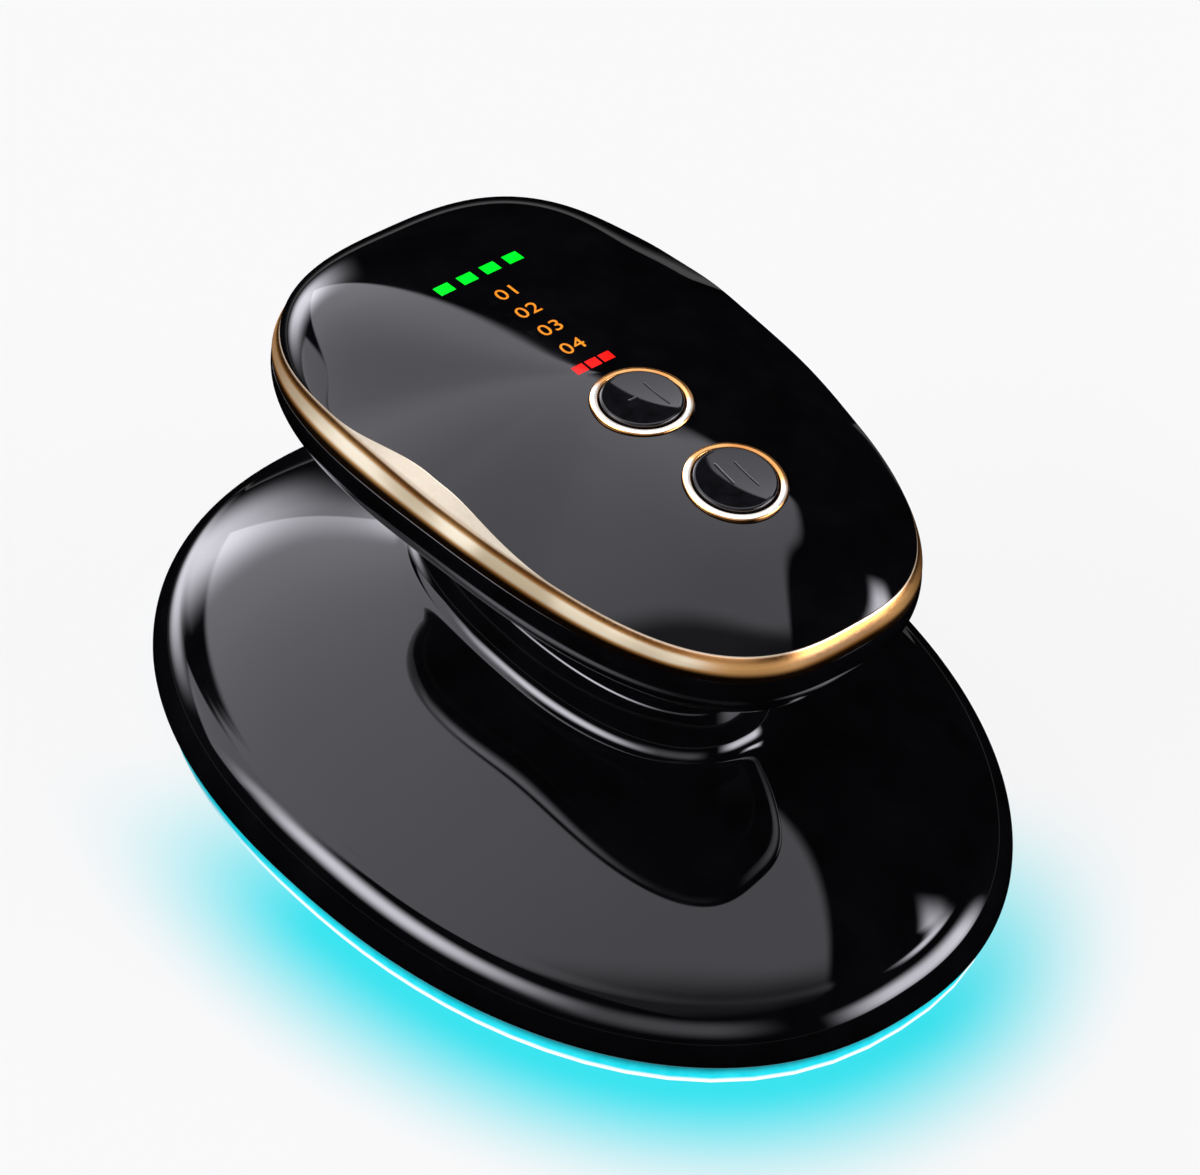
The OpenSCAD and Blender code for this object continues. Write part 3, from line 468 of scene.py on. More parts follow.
# finish: its parts, dark and light colour, roughness, size and detail of the grain or the lines, the rest
INSIDE = {
    "board_green": ("main_board charge_board",
        (0.01, 0.10, 0.04), (0.02, 0.16, 0.07), (0.3, 0.45), 1.6, 6.0, dict(bump=0.02)),
    "board_white": ("light_board",
        (0.72, 0.72, 0.70), (0.82, 0.82, 0.80), (0.35, 0.5), 1.6, 6.0, dict(bump=0.02)),
    "chip_black": ("control_chip",
        (0.012, 0.012, 0.013), (0.03, 0.03, 0.032), (0.45, 0.6), 0.3, 3.0, dict(bump=0.01)),
    "screw_steel": ("board_screws charge_board_screws neck_screws",
        (0.42, 0.42, 0.44), (0.6, 0.6, 0.62), (0.22, 0.36), 0.2, 8.0, TURNED),
    "socket_steel": ("power_switch mode_switch charging_socket",
        (0.5, 0.51, 0.53), (0.68, 0.69, 0.71), (0.2, 0.32), 0.25, 10.0, TURNED),
    "contact_brass": ("board_header electrode_nuts",
        (0.62, 0.42, 0.14), (0.78, 0.55, 0.22), (0.2, 0.34), 0.25, 8.0, TURNED),
    "cell_wrap": ("battery",
        (0.20, 0.24, 0.32), (0.28, 0.33, 0.42), (0.28, 0.42), 5.0, 5.0, dict(bump=0.05)),
    "foam_grey": ("battery_pad",
        (0.03, 0.032, 0.036), (0.08, 0.085, 0.09), (0.85, 0.95), 0.4, 6.0, dict(bump=0.15)),
    "frame_grey": ("battery_cradle",
        (0.07, 0.075, 0.085), (0.10, 0.105, 0.115), (0.45, 0.6), 0.5, 3.0, dict(bump=0.02)),
    "seal_rubber": ("plate_seal",
        (0.02, 0.02, 0.022), (0.035, 0.035, 0.038), (0.6, 0.75), 0.6, 3.0, dict(bump=0.02)),
    "cable_grey": ("ribbon_cable", (0.5, 0.5, 0.47), (0.66, 0.66, 0.62), (0.4, 0.5), 0.6, 14.0,
        dict(effect=LINES, bump=0.05)),
    "connector_cream": ("cable_connectors",
        (0.72, 0.66, 0.52), (0.82, 0.77, 0.65), (0.4, 0.5), 0.7, 3.0, dict(bump=0.02)),
    "ferrite_grey": ("transformer_core",
        (0.035, 0.035, 0.04), (0.075, 0.075, 0.08), (0.6, 0.8), 0.5, 6.0, dict(bump=0.05)),
    "copper_wire": ("transformer_winding",
        (0.55, 0.2, 0.07), (0.75, 0.33, 0.15), (0.2, 0.3), 0.3, 8.0, TURNED),
    "lamp_body": ("indicator_leds treatment_leds edge_leds",
        (0.78, 0.76, 0.7), (0.88, 0.86, 0.8), (0.35, 0.45), 0.5, 3.0, {}),
    "plunger_cream": ("power_plunger mode_plunger",
        (0.66, 0.62, 0.52), (0.76, 0.72, 0.62), (0.4, 0.5), 0.6, 3.0, {}),
}
FINISH = {name: textured(name, *look, **rest) for name, (_, *look, rest) in INSIDE.items()}
dressed = {part: FINISH[name] for name, (parts, *_) in INSIDE.items() for part in parts.split()}
dressed["treatment_plate"] = lit_skirt
dressed["outer_electrodes"] = dressed["centre_electrode"] = electrode_chrome
for part, finish in dressed.items():
    dress(part, finish)
print("dressed", len(dressed), "CAD parts")

# %% [markdown]
# ## Helpers for meshes
# Every piece that is made here goes the same way: a mesh gets points and faces, becomes an object, and is
# baked once its modifiers have done their work, so the piece that is kept is a plain mesh.

# %% Mesh helpers
def new_piece(name, data):
    piece = bpy.data.objects.new(name, data)
    bpy.context.scene.collection.objects.link(piece)
    return piece


def flat_mesh(name, spots, faces=()):
    mesh = bpy.data.meshes.new(name)
    mesh.from_pydata(spots, [], faces)
    return mesh


def finished_mesh(bm, name):
    """Writes a bmesh into a new mesh and frees it."""
    mesh = bpy.data.meshes.new(name)
    bm.to_mesh(mesh)
    bm.free()
    return mesh


def baked_mesh(piece):
    """A plain mesh of the piece as it is with its modifiers."""
    bpy.context.view_layer.update()
    ready = piece.evaluated_get(bpy.context.evaluated_depsgraph_get())
    return bpy.data.meshes.new_from_object(ready)


def points_mm(mesh):
    found = np.empty(len(mesh.vertices) * 3, np.float32)
    mesh.vertices.foreach_get("co", found)
    return found.reshape(-1, 3).astype(float) / MM


def store(mesh, name, values):
    layer = mesh.attributes.new(name, "FLOAT", "POINT")
    layer.data.foreach_set("value", np.ascontiguousarray(values, np.float32).ravel())


def placed(x, y, z):
    return Matrix.Translation(Vector((x, y, z)) * MM)


print("mesh helpers are ready")

# %% [markdown]
# ## Rows of a pattern
# A row is one trip round the oval. A shell is drawn as its section would be drawn on paper: up the outer
# face, over the edge, down the inner face and back to the start. The last row joins the first, so the
# wall is closed and has a real thickness.

# %% Patterns and skins
SIDES = 288
TURN = np.linspace(0, 2 * pi, SIDES, endpoint=False)
ROW = ("inset", "height", "share", "blend", "inset_b")


def row(inset, height, share=1.0, blend=0.0, inset_b=0.0):
    return [np.broadcast_to(np.asarray(v, float), (SIDES,)) for v in (inset, height, share, blend, inset_b)]


def steps(low, high, count, first=True):
    found = np.linspace(low, high, count + 1)
    return found if first else found[1:]


def pattern(name, rows, joined):
    """The flat pattern of a skin. Each point knows its turn, inset, height, share and blend."""
    n, count = SIDES, len(rows)
    faces = []
    for j in range(count if joined else count - 1):
        a, b = j * n, (j + 1) % count * n
        faces += [(a + i, a + (i + 1) % n, b + (i + 1) % n, b + i) for i in range(n)]
    mesh = flat_mesh(name, [(i, -j, 0.0) for j in range(count) for i in range(n)], faces)
    store(mesh, "turn", np.tile(TURN, count))
    for k, key in enumerate(ROW):
        store(mesh, key, np.array(rows)[:, k])
    return new_piece(name, mesh)


def run_tree(piece, tree, **values):
    """Runs a Geometry Nodes tree on a piece, keeps the result as a plain mesh, and removes the modifier."""
    modifier = piece.modifiers.new("rule", "NODES")
    modifier.node_group = tree
    sockets = {s.name: s.identifier for s in tree.interface.items_tree if s.in_out == "INPUT"}
    for key, value in values.items():
        modifier[sockets[key]] = value
    mesh = baked_mesh(piece)
    piece.modifiers.remove(modifier)
    piece.data = mesh
    return piece


def outward(piece, sharp=32):
    """Faces point outwards, and smooth shading stops at edges that are sharper than the angle."""
    bm = bmesh.new()
    bm.from_mesh(piece.data)
    bmesh.ops.recalc_face_normals(bm, faces=bm.faces)
    bm.to_mesh(piece.data)
    bm.free()
    piece.data.shade_smooth()
    piece.data.set_sharp_from_angle(angle=radians(sharp))
    return piece


def oval_skin(name, rows, shape, finish, shape_b=None, joined=True, centre_y=0.0, sharp=32):
    values = {"Centre along Y": centre_y, "Finish": finish}
    for end, oval in (("A", shape), ("B", shape_b or shape)):
        values.update({f"Half width {end}": oval["half_w"], f"Half length {end}": oval["half_l"],
                       f"Squareness {end}": oval["square"], f"Egg share {end}": oval["egg"]})
    piece = run_tree(pattern(name, rows, joined), OVAL_TREE, **values)
    for key in ("turn", *ROW):
        piece.data.attributes.remove(piece.data.attributes[key])
    outward(piece, sharp)
    print(name, len(piece.data.vertices), "points")
    return piece


def stands_for(piece, body, slot_name, *nodes):
    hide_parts(*nodes)
    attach(piece, body)
    return piece


print("each row has", SIDES, "points")

# %% [markdown]
# ## The head housing
# The head is a wide oval dish turned upside down: a short lip, a rolled edge, a gentle crown and a small
# flared foot under the neck. The crown runs from the head's oval to the neck's, so its rows blend the two.

# %% Head housing
HEAD_WALL = 2.2


def crown_rise(s):
    """Height of the crown above the roll, steep at first, flatter half way and steeper at the foot."""
    return head_rise * (1.12 * s - 0.716 * s ** 2 + 0.3875 * s ** 3)


def head_rows():
    wall, foot, inner_roll = HEAD_WALL, 4.2, head_roll - HEAD_WALL
    rows = [row(1.0, head_edge_z), row(0.62, 4.78), row(0.25, 5.2), row(0.06, 5.65)]
    rows += [row(head_roll * (1 - cos(a)), head_wide_z + head_roll * sin(a)) for a in steps(0, roll_end, 18)]
    start, crown_foot = head_roll * (1 - cos(roll_end)), 0.42 * foot
    rows += [row(start, roll_top_z + crown_rise(s), 1, s, -foot) for s in steps(0, 1, 44, False)]
    top = roll_top_z + crown_rise(1)
    climb = seam_z - 0.25 - top - crown_foot
    rows += [row(0, top + crown_foot * (1 - (1 - w) ** 2) + climb * w ** 3, 1, 1, -foot * (1 - w) ** 2)
             for w in steps(0, 1, 30, False)]
    rows += [row(0, seam_z - 0.2, 1, 1, 0), row(0, seam_z - 0.02, 1, 1, 0.16)]
    rows += [row(0, seam_z - 0.02, 1, 1, wall), row(0, top + 2.0, 1, 1, wall)]
    inner, base = head_roll - inner_roll * cos(roll_end), roll_top_z - wall * sin(roll_end)
    rows += [row(inner, base + crown_rise(s) - 0.1 * wall * s, 1, s, wall - foot)
             for s in (0.97, 0.85, 0.7, 0.5, 0.35, 0.15)]
    rows += [row(head_roll - inner_roll * cos(a), head_wide_z + inner_roll * sin(a))
             for a in (roll_end, radians(50), radians(40), radians(20))]
    return rows + [row(3.1, head_wide_z + 1.1), row(3.1, head_edge_z)]


head_skin = oval_skin("head_skin", head_rows(), HEAD, piano_black, NECK)
stands_for(head_skin, "device", "gloss_black", "head_housing")

# %% [markdown]
# ## The lower shell of the grip
# The neck rises straight, flares out under the grip and rolls up to the grip's widest line. The flare is
# a quarter of a superellipse, so it leaves the neck tangent to it and meets the underside almost flat.

# %% Lower shell
SHELL_WALL = 2.0
TONGUE_IN, TONGUE_WALL, TONGUE_TOP = 2.1, 1.1, 1.8


def flare_row(s, wall):
    inset = grip_roll - (grip_roll - wall) * cos(under_end)
    drop = 10.0 * (1 - (1 - s ** 2.4) ** (1 / 2.4))
    return row(inset, underside_z - drop + wall * (1 - s * 0.6), 1, s, wall * 1.1)


def under_row(a, wall):
    return row(grip_roll - (grip_roll - wall) * cos(a), grip_wide_z - (grip_roll - wall) * sin(a))


def lower_rows():
    rows = [row(0, seam_z + 0.02, 1, 1, 0.16), row(0, seam_z + 0.2, 1, 1, 0)]
    rows += [flare_row(1 - (1 - u) ** 2, 0) for u in steps(1, 0, 34)]
    rows += [under_row(a, 0) for a in steps(under_end, 0, 22, False)]
    rows += [row(0.02, grip_edge_z - 0.6), row(0.15, grip_edge_z - 0.12), row(0.3, grip_edge_z)]
    rows += [row(TONGUE_IN + across, grip_edge_z + up)
             for across, up in ((0, 0), (0, TONGUE_TOP), (TONGUE_WALL, TONGUE_TOP), (TONGUE_WALL, 0))]
    rows += [under_row(radians(a), SHELL_WALL) for a in (20, 40, 60, 75)]
    rows += [flare_row(s, SHELL_WALL) for s in (0.25, 0.55, 0.8, 0.94, 1)]
    return rows + [row(0, seam_z + 0.02, 1, 1, 2.2)]


lower_skin = oval_skin("lower_skin", lower_rows(), GRIP, piano_black, NECK)
stands_for(lower_skin, "device", "gloss_black", "grip_lower_shell")

# %% [markdown]
# ## The gold band
# The band leans in and bulges a little. On each long side its upper edge climbs in a slow wave, and a
# flat shoulder opens between the round face and the black shell. Two height curves along the grip
# draw that S: the crease between face and shoulder, and the edge where the black shell starts. Two values
# stored on the points tell the gold where to paint its reflection: a white stripe on the face, a cream one
# on the shoulder.

# %% Edge curves and the band
def oval_point(shape, inset, turn):
    a, b, n = shape["half_w"] - inset, shape["half_l"] - inset, shape["square"]
    reach = (np.abs(np.cos(turn) / a) ** n + np.abs(np.sin(turn) / b) ** n) ** (-1 / n)
    y = reach * np.sin(turn)
    return reach * np.cos(turn) * (1 + shape["egg"] * y / b), y


def smooth(x, low, high):
    u = np.clip((x - low) / (high - low), 0, 1)
    return u * u * (3 - 2 * u)


def crease_height(y):
    u = y / grip_length
    return (dome_z + 0.05 + 1.25 * smooth(u, -0.45, -0.14) + 0.6 * smooth(u, -0.02, 0.14)
            - 1.85 * smooth(u, 0.18, 0.45))


def shell_edge_height(y):
    u = y / grip_length
    return crease_height(y) + 0.1 + 2.6 * smooth(u, -0.22, -0.01) * (1 - smooth(u, 0.02, 0.215))


def rim_share(z):
    return (1 - np.clip((z - dome_z) / dome_h, 0, 1) ** rim_round) ** (1 / rim_round)


SIDE_Y = oval_point(GRIP, trim_lean, TURN)[1]
CREASE_Z, SHELL_EDGE_Z = crease_height(SIDE_Y), shell_edge_height(SIDE_Y)
CREASE_SHARE, EDGE_SHARE = rim_share(CREASE_Z), rim_share(SHELL_EDGE_Z)


def between(p, q, s):
    return p + (q - p) * s


def band_rows():
    rows = [row(between(0.15, trim_lean, s) - 1.4 * s * (1 - s), between(grip_edge_z, CREASE_Z, s),
                between(1, CREASE_SHARE, s)) for s in (0, 0.03, 0.08, *steps(0.14, 0.98, 20), 1)]
    rows += [row(trim_lean, between(CREASE_Z, SHELL_EDGE_Z, s), between(CREASE_SHARE, EDGE_SHARE, s))
             for s in (0.04, 0.2, 0.4, 0.6, 0.8, 0.97)]
    rows += [row(trim_lean + 0.08 / EDGE_SHARE, SHELL_EDGE_Z - 0.04, EDGE_SHARE)]
    rows += [row(trim_lean + 1.2 / EDGE_SHARE, SHELL_EDGE_Z - 0.04, EDGE_SHARE)]
    return rows + [row(1.95, grip_edge_z + 2.0), row(1.95, grip_edge_z + 0.01)]


band_skin = oval_skin("band_skin", band_rows(), GRIP, band_gold, sharp=40)


# Painted reflection: "core" is a white stripe along the middle of the round face, strongest on the side that
# faces left and to the front, and weaker near a shaded line across the front end; "shoulder" marks where the
# flat shoulder gets its painted cream highlight.
mesh = band_skin.data
x, y, z = points_mm(mesh).T
climb = (z - grip_edge_z) / (crease_height(y) - grip_edge_z)
facing = np.cos(np.arctan2(y / 1.7, x) - radians(-148))
from_shade = np.abs(y + 46 - 0.1 * x)
along = between(0.25, 1, smooth(facing, -0.2, 0.75)) * between(0.45, 1, smooth(from_shade, 1, 9))
store(mesh, "core", smooth(climb, 0.22, 0.5) * smooth(climb, 0.92, 0.72) * along)
past_crease = smooth(z - crease_height(y), 0.02, 0.2)
store(mesh, "shoulder", np.maximum(past_crease, 0.8 * smooth(climb, 0.96, 0.99)))
stands_for(band_skin, "device", "gold_plating", "trim_band")

# %% [markdown]
# ## The dome of the top shell
# The real shell is moulded plastic with a low dome. It could be sculpted, but lights and buttons have to
# lie on it exactly, so its height is a formula: a lens-like section that is fuller at the ends than at the
# sides. The formula also gives the direction of the dome at any place, which keeps reflections clean.

# %% The dome as a formula
def eased(x, low, high):
    """Goes from 0 to 1 with no jump in its bend, so a reflection shows no kink."""
    u = np.clip((x - low) / (high - low), 0, 1)
    return u ** 3 * (10 - 15 * u + 6 * u * u)


def dome_height(s, y):
    """Height at share s of the dome's edge, in the direction of the outline's place y."""
    edge = shell_edge_height(y)
    power = between(side_power, end_power, eased(np.abs(y) / grip_length, 0.16, 0.56))
    steep = between(1, end_round, eased(y / grip_length, 0.16, 0.5))
    return edge + (crown_z - edge) * (1 - np.clip(s, 0, 1) ** power) ** (1 / steep)


def dome_height_at(x, y):
    """Height of the dome over a place, found by a few rounds because the oval is wider at one end."""
    half_w, half_l, square = GRIP["half_w"] - trim_lean, GRIP["half_l"] - trim_lean, GRIP["square"]
    share = np.ones_like(x)
    for _ in range(8):
        swell = 1 + GRIP["egg"] * y / np.maximum(share, 1e-6) / half_l
        share = ((np.abs(x) / (half_w * swell)) ** square + (np.abs(y) / half_l) ** square) ** (1 / square)
    side = y / np.maximum(share, 1e-6)
    return dome_height(share / rim_share(shell_edge_height(side)), side)


def dome_slope(x, y, d=0.05):
    """Outward directions of the dome at points in millimetres."""
    gx = (dome_height_at(x + d, y) - dome_height_at(x - d, y)) / (2 * d)
    gy = (dome_height_at(x, y + d) - dome_height_at(x, y - d)) / (2 * d)
    found = np.stack([-gx, -gy, np.ones_like(gx)], -1)
    return found / np.linalg.norm(found, axis=-1, keepdims=True)


def follow_dome(piece, reach=0.06, steep=0.8):
    """Stores the dome's own directions on every corner of the faces that lie on it."""
    mesh = piece.data
    x, y, z = points_mm(mesh).T
    lift, aim = np.abs(z - dome_height_at(x, y)), dome_slope(x, y)
    kept = np.zeros((len(mesh.loops), 3), np.float32)
    for face in mesh.polygons:
        corners = list(face.vertices)
        facing = aim[corners] @ np.array(face.normal)
        if lift[corners].max() < reach and facing.min() > 0.9 and aim[corners, 2].min() > steep:
            kept[list(face.loop_indices)] = aim[corners]
    mesh.normals_split_custom_set(kept.tolist())


def top_of(y):
    """Height and tilt of the dome on its middle line."""
    before, high, after = dome_height_at(np.zeros(3), np.array([y - 1, y, y + 1]))
    return float(high), float(after - before) / 2


print("dome at the power button:", round(top_of(power_y)[0], 2), "mm, slope", round(top_of(power_y)[1], 3))

# %% [markdown]
# ## The top shell
# The shell's rows are shrunken copies of its own wavy edge, lifted by the formula. Real holes are cut for
# the lights and the buttons. A cut leaves long thin faces that would spoil the reflections, so the exact
# direction of the dome is stored on every corner of the mesh.

# %% Top shell
def top_rows():
    outer = [row(trim_lean + 1.35 / EDGE_SHARE, SHELL_EDGE_Z, EDGE_SHARE),
             row(trim_lean + 0.1, SHELL_EDGE_Z, EDGE_SHARE)]
    outer += [row(trim_lean, dome_height(1 - v * v, SIDE_Y), EDGE_SHARE * (1 - v * v))
              for v in steps(0, 1, 72)]
    inner = 1 - SHELL_WALL / np.hypot(*oval_point(GRIP, trim_lean, TURN))
    back = [row(trim_lean + SHELL_WALL, dome_height(s * inner, SIDE_Y) - 1.1 * SHELL_WALL, EDGE_SHARE * s)
            for s in (0, 0.1, 0.3, 0.5, 0.7, 0.85, 0.95, 1)]
    return back + [row(TONGUE_IN + across, grip_edge_z + 2.0) for across in (TONGUE_WALL, 0)] + outer


def box_cutter(x, y, w, l):
    bm = bmesh.new()
    bmesh.ops.create_cube(bm, size=1.0)
    bm.transform(placed(x, y, dome_z + 6) @ Matrix.Diagonal((w * MM, l * MM, 14 * MM, 1)))
    return bm


def drum_cutter(y, radius, low):
    bm = bmesh.new()
    size = radius * MM
    bmesh.ops.create_cone(bm, cap_ends=True, segments=128, radius1=size, radius2=size, depth=12 * MM)
    bm.transform(placed(0, y, low + 6))
    return bm


# centre X, centre Y, width and length of each window
WINDOWS = {
    "charge": [(x * 4.0, 27.4, 2.5, 2.1) for x in (-1.5, -0.5, 0.5, 1.5)],
    "mode": [(0.0, 21.5 - k * 4.8, 6.0, 2.2) for k in range(4)],
    "level": [(x * 2.3, 2.7, 1.9, 1.7) for x in (-1, 0, 1)],
}


def cut(piece, cutters):
    """Cuts all cutters out of a piece and keeps the result as a plain mesh."""
    made = [new_piece("cutter", finished_mesh(bm, "cutter")) for bm in cutters]
    for cutter in made:
        modifier = piece.modifiers.new("cut", "BOOLEAN")
        modifier.object, modifier.solver = cutter, "EXACT"
    mesh = baked_mesh(piece)
    piece.modifiers.clear()
    piece.data = mesh
    for cutter in made:
        bpy.data.objects.remove(cutter)


top_skin = oval_skin("top_skin", top_rows(), GRIP, piano_black, joined=False)
cutters = [box_cutter(*window) for row_of in WINDOWS.values() for window in row_of]
for y in (power_y, mode_y):
    cutters += [drum_cutter(y, 6.5, dome_z - 1), drum_cutter(y, 7.1, top_of(y)[0] - 1)]
cut(top_skin, cutters)
outward(top_skin)
follow_dome(top_skin)
stands_for(top_skin, "device", "gloss_black", "grip_top_shell")
print("top shell faces:", len(top_skin.data.polygons))

# %% [markdown]
# ## Gold rings and button caps
# A bezel is a turned ring, pressed into the shell, with soft edges that catch a line of light. A cap is a
# turned button with a dish for the fingertip. Both sit square to the slope of the dome, and both come
# from the oval rule with a plain circle as the oval.

# %% Bezels and caps
BEZEL_R, CAP_R = 7.0, 6.7


def circle(radius):
    return dict(half_w=radius, half_l=radius, square=2.0, egg=0.0)


def bezel_low(y):
    high, slope = top_of(y)
    return high - 2.6 - 6.4 * abs(slope) / sqrt(1 + slope * slope) - 0.1


def bezel_rows(y):
    """A straight seat in the shell, and a soft rim that lies square to the dome's slope."""
    (high, slope), low = top_of(y), bezel_low(y)
    seat = high - 1.0
    rows = [row(BEZEL_R - r, z) for r, z in ((5.9, low), (6.4, low), (6.4, seat), (BEZEL_R, seat))]
    rim = [(BEZEL_R, 0.0), (BEZEL_R, 0.06), (6.97, 0.16), (6.88, 0.26), (6.74, 0.32), (6.6, 0.345),
           (6.45, 0.35), (6.3, 0.345), (6.16, 0.32), (6.02, 0.26), (5.93, 0.16), (5.9, 0.06), (5.9, -0.3)]
    return rows + [row(BEZEL_R - r, high + slope * r * np.sin(TURN) + lift) for r, lift in rim]


def cap_rows(y):
    """A stem with a blind hole, a flange, and a dished top that lies square to the dome's slope."""
    (high, slope), top, dish_r = top_of(y), bezel_low(y) - 0.1, 5.18
    stem = [(0.0, 65.53), (1.85, 65.53), (2.0, 65.68), (2.0, top - 0.8), (CAP_R, top - 0.8), (CAP_R, top),
            (5.65, top)]
    face = [(5.65, 0.2), (5.65, 0.5), (5.62, 0.6), (5.55, 0.68), (5.45, 0.73), (5.35, 0.75), (5.25, 0.735),
            (dish_r, 0.70)]
    face += [(r, 0.70 - 0.46 * (1 - (r / dish_r) ** 2))
             for r in (5.1, 4.9, 4.6, 4.2, 3.8, 3.4, 3.0, 2.6, 2.2, 1.8, 1.4, 1.0, 0.6, 0.3, 0.0)]
    rows = [row(0, z, r / CAP_R) for r, z in stem]
    return rows + [row(0, high + slope * r * np.sin(TURN) + lift, r / CAP_R) for r, lift in face]


for name, y in (("power", power_y), ("mode", mode_y)):
    ring = oval_skin(f"{name}_ring", bezel_rows(y), circle(BEZEL_R), bezel_gold, centre_y=y, sharp=45)
    # Painted reflection: "core" marks each ring's flat top, white and glowing on the side that faces left
    # and to the front, faint on the far side.
    across, along, _ = points_mm(ring.data).T
    facing = np.cos(np.arctan2(along - y, across) - radians(-140))
    far = np.hypot(across, along - y)
    flat = smooth(far, 5.94, 6.06) * (1 - smooth(far, 6.84, 6.93))
    store(ring.data, "core", flat * between(0.16, 1.0, smooth(facing, -0.75, 0.1)))
    stands_for(ring, "device", "gold_plating", f"{name}_bezel")
    cap = oval_skin(f"{name}_cap", cap_rows(y), circle(CAP_R), cap_black, joined=False, centre_y=y, sharp=45)
    stands_for(cap, f"{name}_key", "button_black", f"{name}_button")

# %% [markdown]
# ## Light pipes
# Each light is the end of a clear pipe that fills its window and ends flush with the dome. The pipes here
# have tops that follow the dome, so the black windows of the legends vanish in the shell.

# %% Light pipes
def pipe(bm, x, y, w, l, low, lines=6):
    """A square column whose top is a small grid on the dome."""
    xs, ys = np.linspace(x - w / 2, x + w / 2, lines), np.linspace(y - l / 2, y + l / 2, lines)
    gx, gy = np.meshgrid(xs, ys, indexing="ij")
    top = np.stack([gx, gy, dome_height_at(gx.ravel(), gy.ravel()).reshape(gx.shape)], -1) * MM
    upper = [[bm.verts.new(place) for place in line] for line in top]
    last = lines - 1
    for i in range(last):
        for j in range(last):
            bm.faces.new((upper[i][j], upper[i + 1][j], upper[i + 1][j + 1], upper[i][j + 1]))
    rim = [(i, 0) for i in range(last)] + [(last, j) for j in range(last)]
    rim += [(i, last) for i in range(last, 0, -1)] + [(0, j) for j in range(last, 0, -1)]
    foot = [bm.verts.new((*top[i, j, :2], low * MM)) for i, j in rim]
    edge = [upper[i][j] for i, j in rim]
    for k, after in enumerate([*range(1, len(rim)), 0]):
        bm.faces.new((foot[k], foot[after], edge[after], edge[k]))
    bm.faces.new(foot[::-1])


def bar(bm, y, w, l, low, high):
    made = bmesh.ops.create_cube(bm, size=1.0)["verts"]
    size = Matrix.Diagonal((w * MM, l * MM, (high - low) * MM, 1))
    bmesh.ops.transform(bm, matrix=placed(0, y, (low + high) / 2) @ size, verts=made)


def light_pipe(name, finish, w, l):
    bm, play = bmesh.new(), 0.03
    for x, y, window_w, window_l in WINDOWS[name]:
        pipe(bm, x, y, window_w - play, window_l - play, PIPE_FOOT_Z)
    (lowest, highest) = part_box(f"{name}_light_pipe")
    y = ((lowest + highest) / 2 / MM).y
    corner = dome_height_at(np.array([w / 2]), np.array([y - l / 2, y + l / 2])).min()
    bar(bm, y, w, l, corner - 3.7, corner - 2.5)
    piece = new_piece(f"{name}_pipe", finished_mesh(bm, f"{name}_pipe"))
    piece.data.materials.append(finish)
    outward(piece)
    follow_dome(piece)
    return piece


PIPE_FOOT_Z = 63.73
for name, finish, bar_size, look in (("charge", green_light, (16, 3), "green_light"),
                                     ("mode", smoked_pipe, (2, 17.4), "orange_light"),
                                     ("level", red_light, (7.6, 2.1), "red_light")):
    stands_for(light_pipe(name, finish, *bar_size), "device", look, f"{name}_light_pipe")
print("windows with lights:", {k: len(v) for k, v in WINDOWS.items()})

# %% [markdown]
# ## Legends
# The lit legends are plain numerals, one for each mode. A text object is made a mesh, and every point of it
# is then laid on the dome, a few hundredths of a millimetre proud.

# %% Numerals on the dome
LEGEND_HEIGHT, LEGEND_STRETCH = 2.3, 1.12


def numeral(words, x, y, finish):
    curve = bpy.data.curves.new("numeral_" + words, "FONT")
    curve.body, curve.size, curve.extrude = words, 1.0, 0.01
    curve.align_x, curve.align_y, curve.space_character = "CENTER", "CENTER", 1.08
    holder = new_piece("numeral_" + words, curve)
    mesh = baked_mesh(holder)
    bpy.data.objects.remove(holder)
    spots = np.array([v.co[:] for v in mesh.vertices])
    spots[:, :2] -= (spots[:, :2].max(0) + spots[:, :2].min(0)) / 2
    scale = LEGEND_HEIGHT / (spots[:, 1].max() - spots[:, 1].min())
    flat_x, flat_y = spots[:, 0] * scale * LEGEND_STRETCH + x, spots[:, 1] * scale + y
    lift = dome_height_at(flat_x, flat_y) + np.where(spots[:, 2] > 0, 0.03, -0.15)
    mesh.vertices.foreach_set("co", (np.stack([flat_x, flat_y, lift], -1) * MM).ravel())
    mesh.update()
    mesh.materials.clear()
    mesh.materials.append(finish)
    bm = bmesh.new()
    bm.from_mesh(mesh)
    bmesh.ops.remove_doubles(bm, verts=bm.verts, dist=1e-7)
    bmesh.ops.recalc_face_normals(bm, faces=bm.faces)
    bm.to_mesh(mesh)
    bm.free()
    return new_piece("legend_" + words, mesh)


for k, (x, y, *_) in enumerate(WINDOWS["mode"]):
    legend = numeral(f"0{k + 1}", x, y, legend_orange)
    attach(legend, "device")
print("legends:", len(WINDOWS["mode"]))

# %% [markdown]
# ## Lamps behind the plate
# Seventeen lamps stand behind the clear plate: twelve round the ring and five in its slot. Each is a small
# square body with a round lens. One lamp is made inside a Geometry Nodes tree and set on every point.

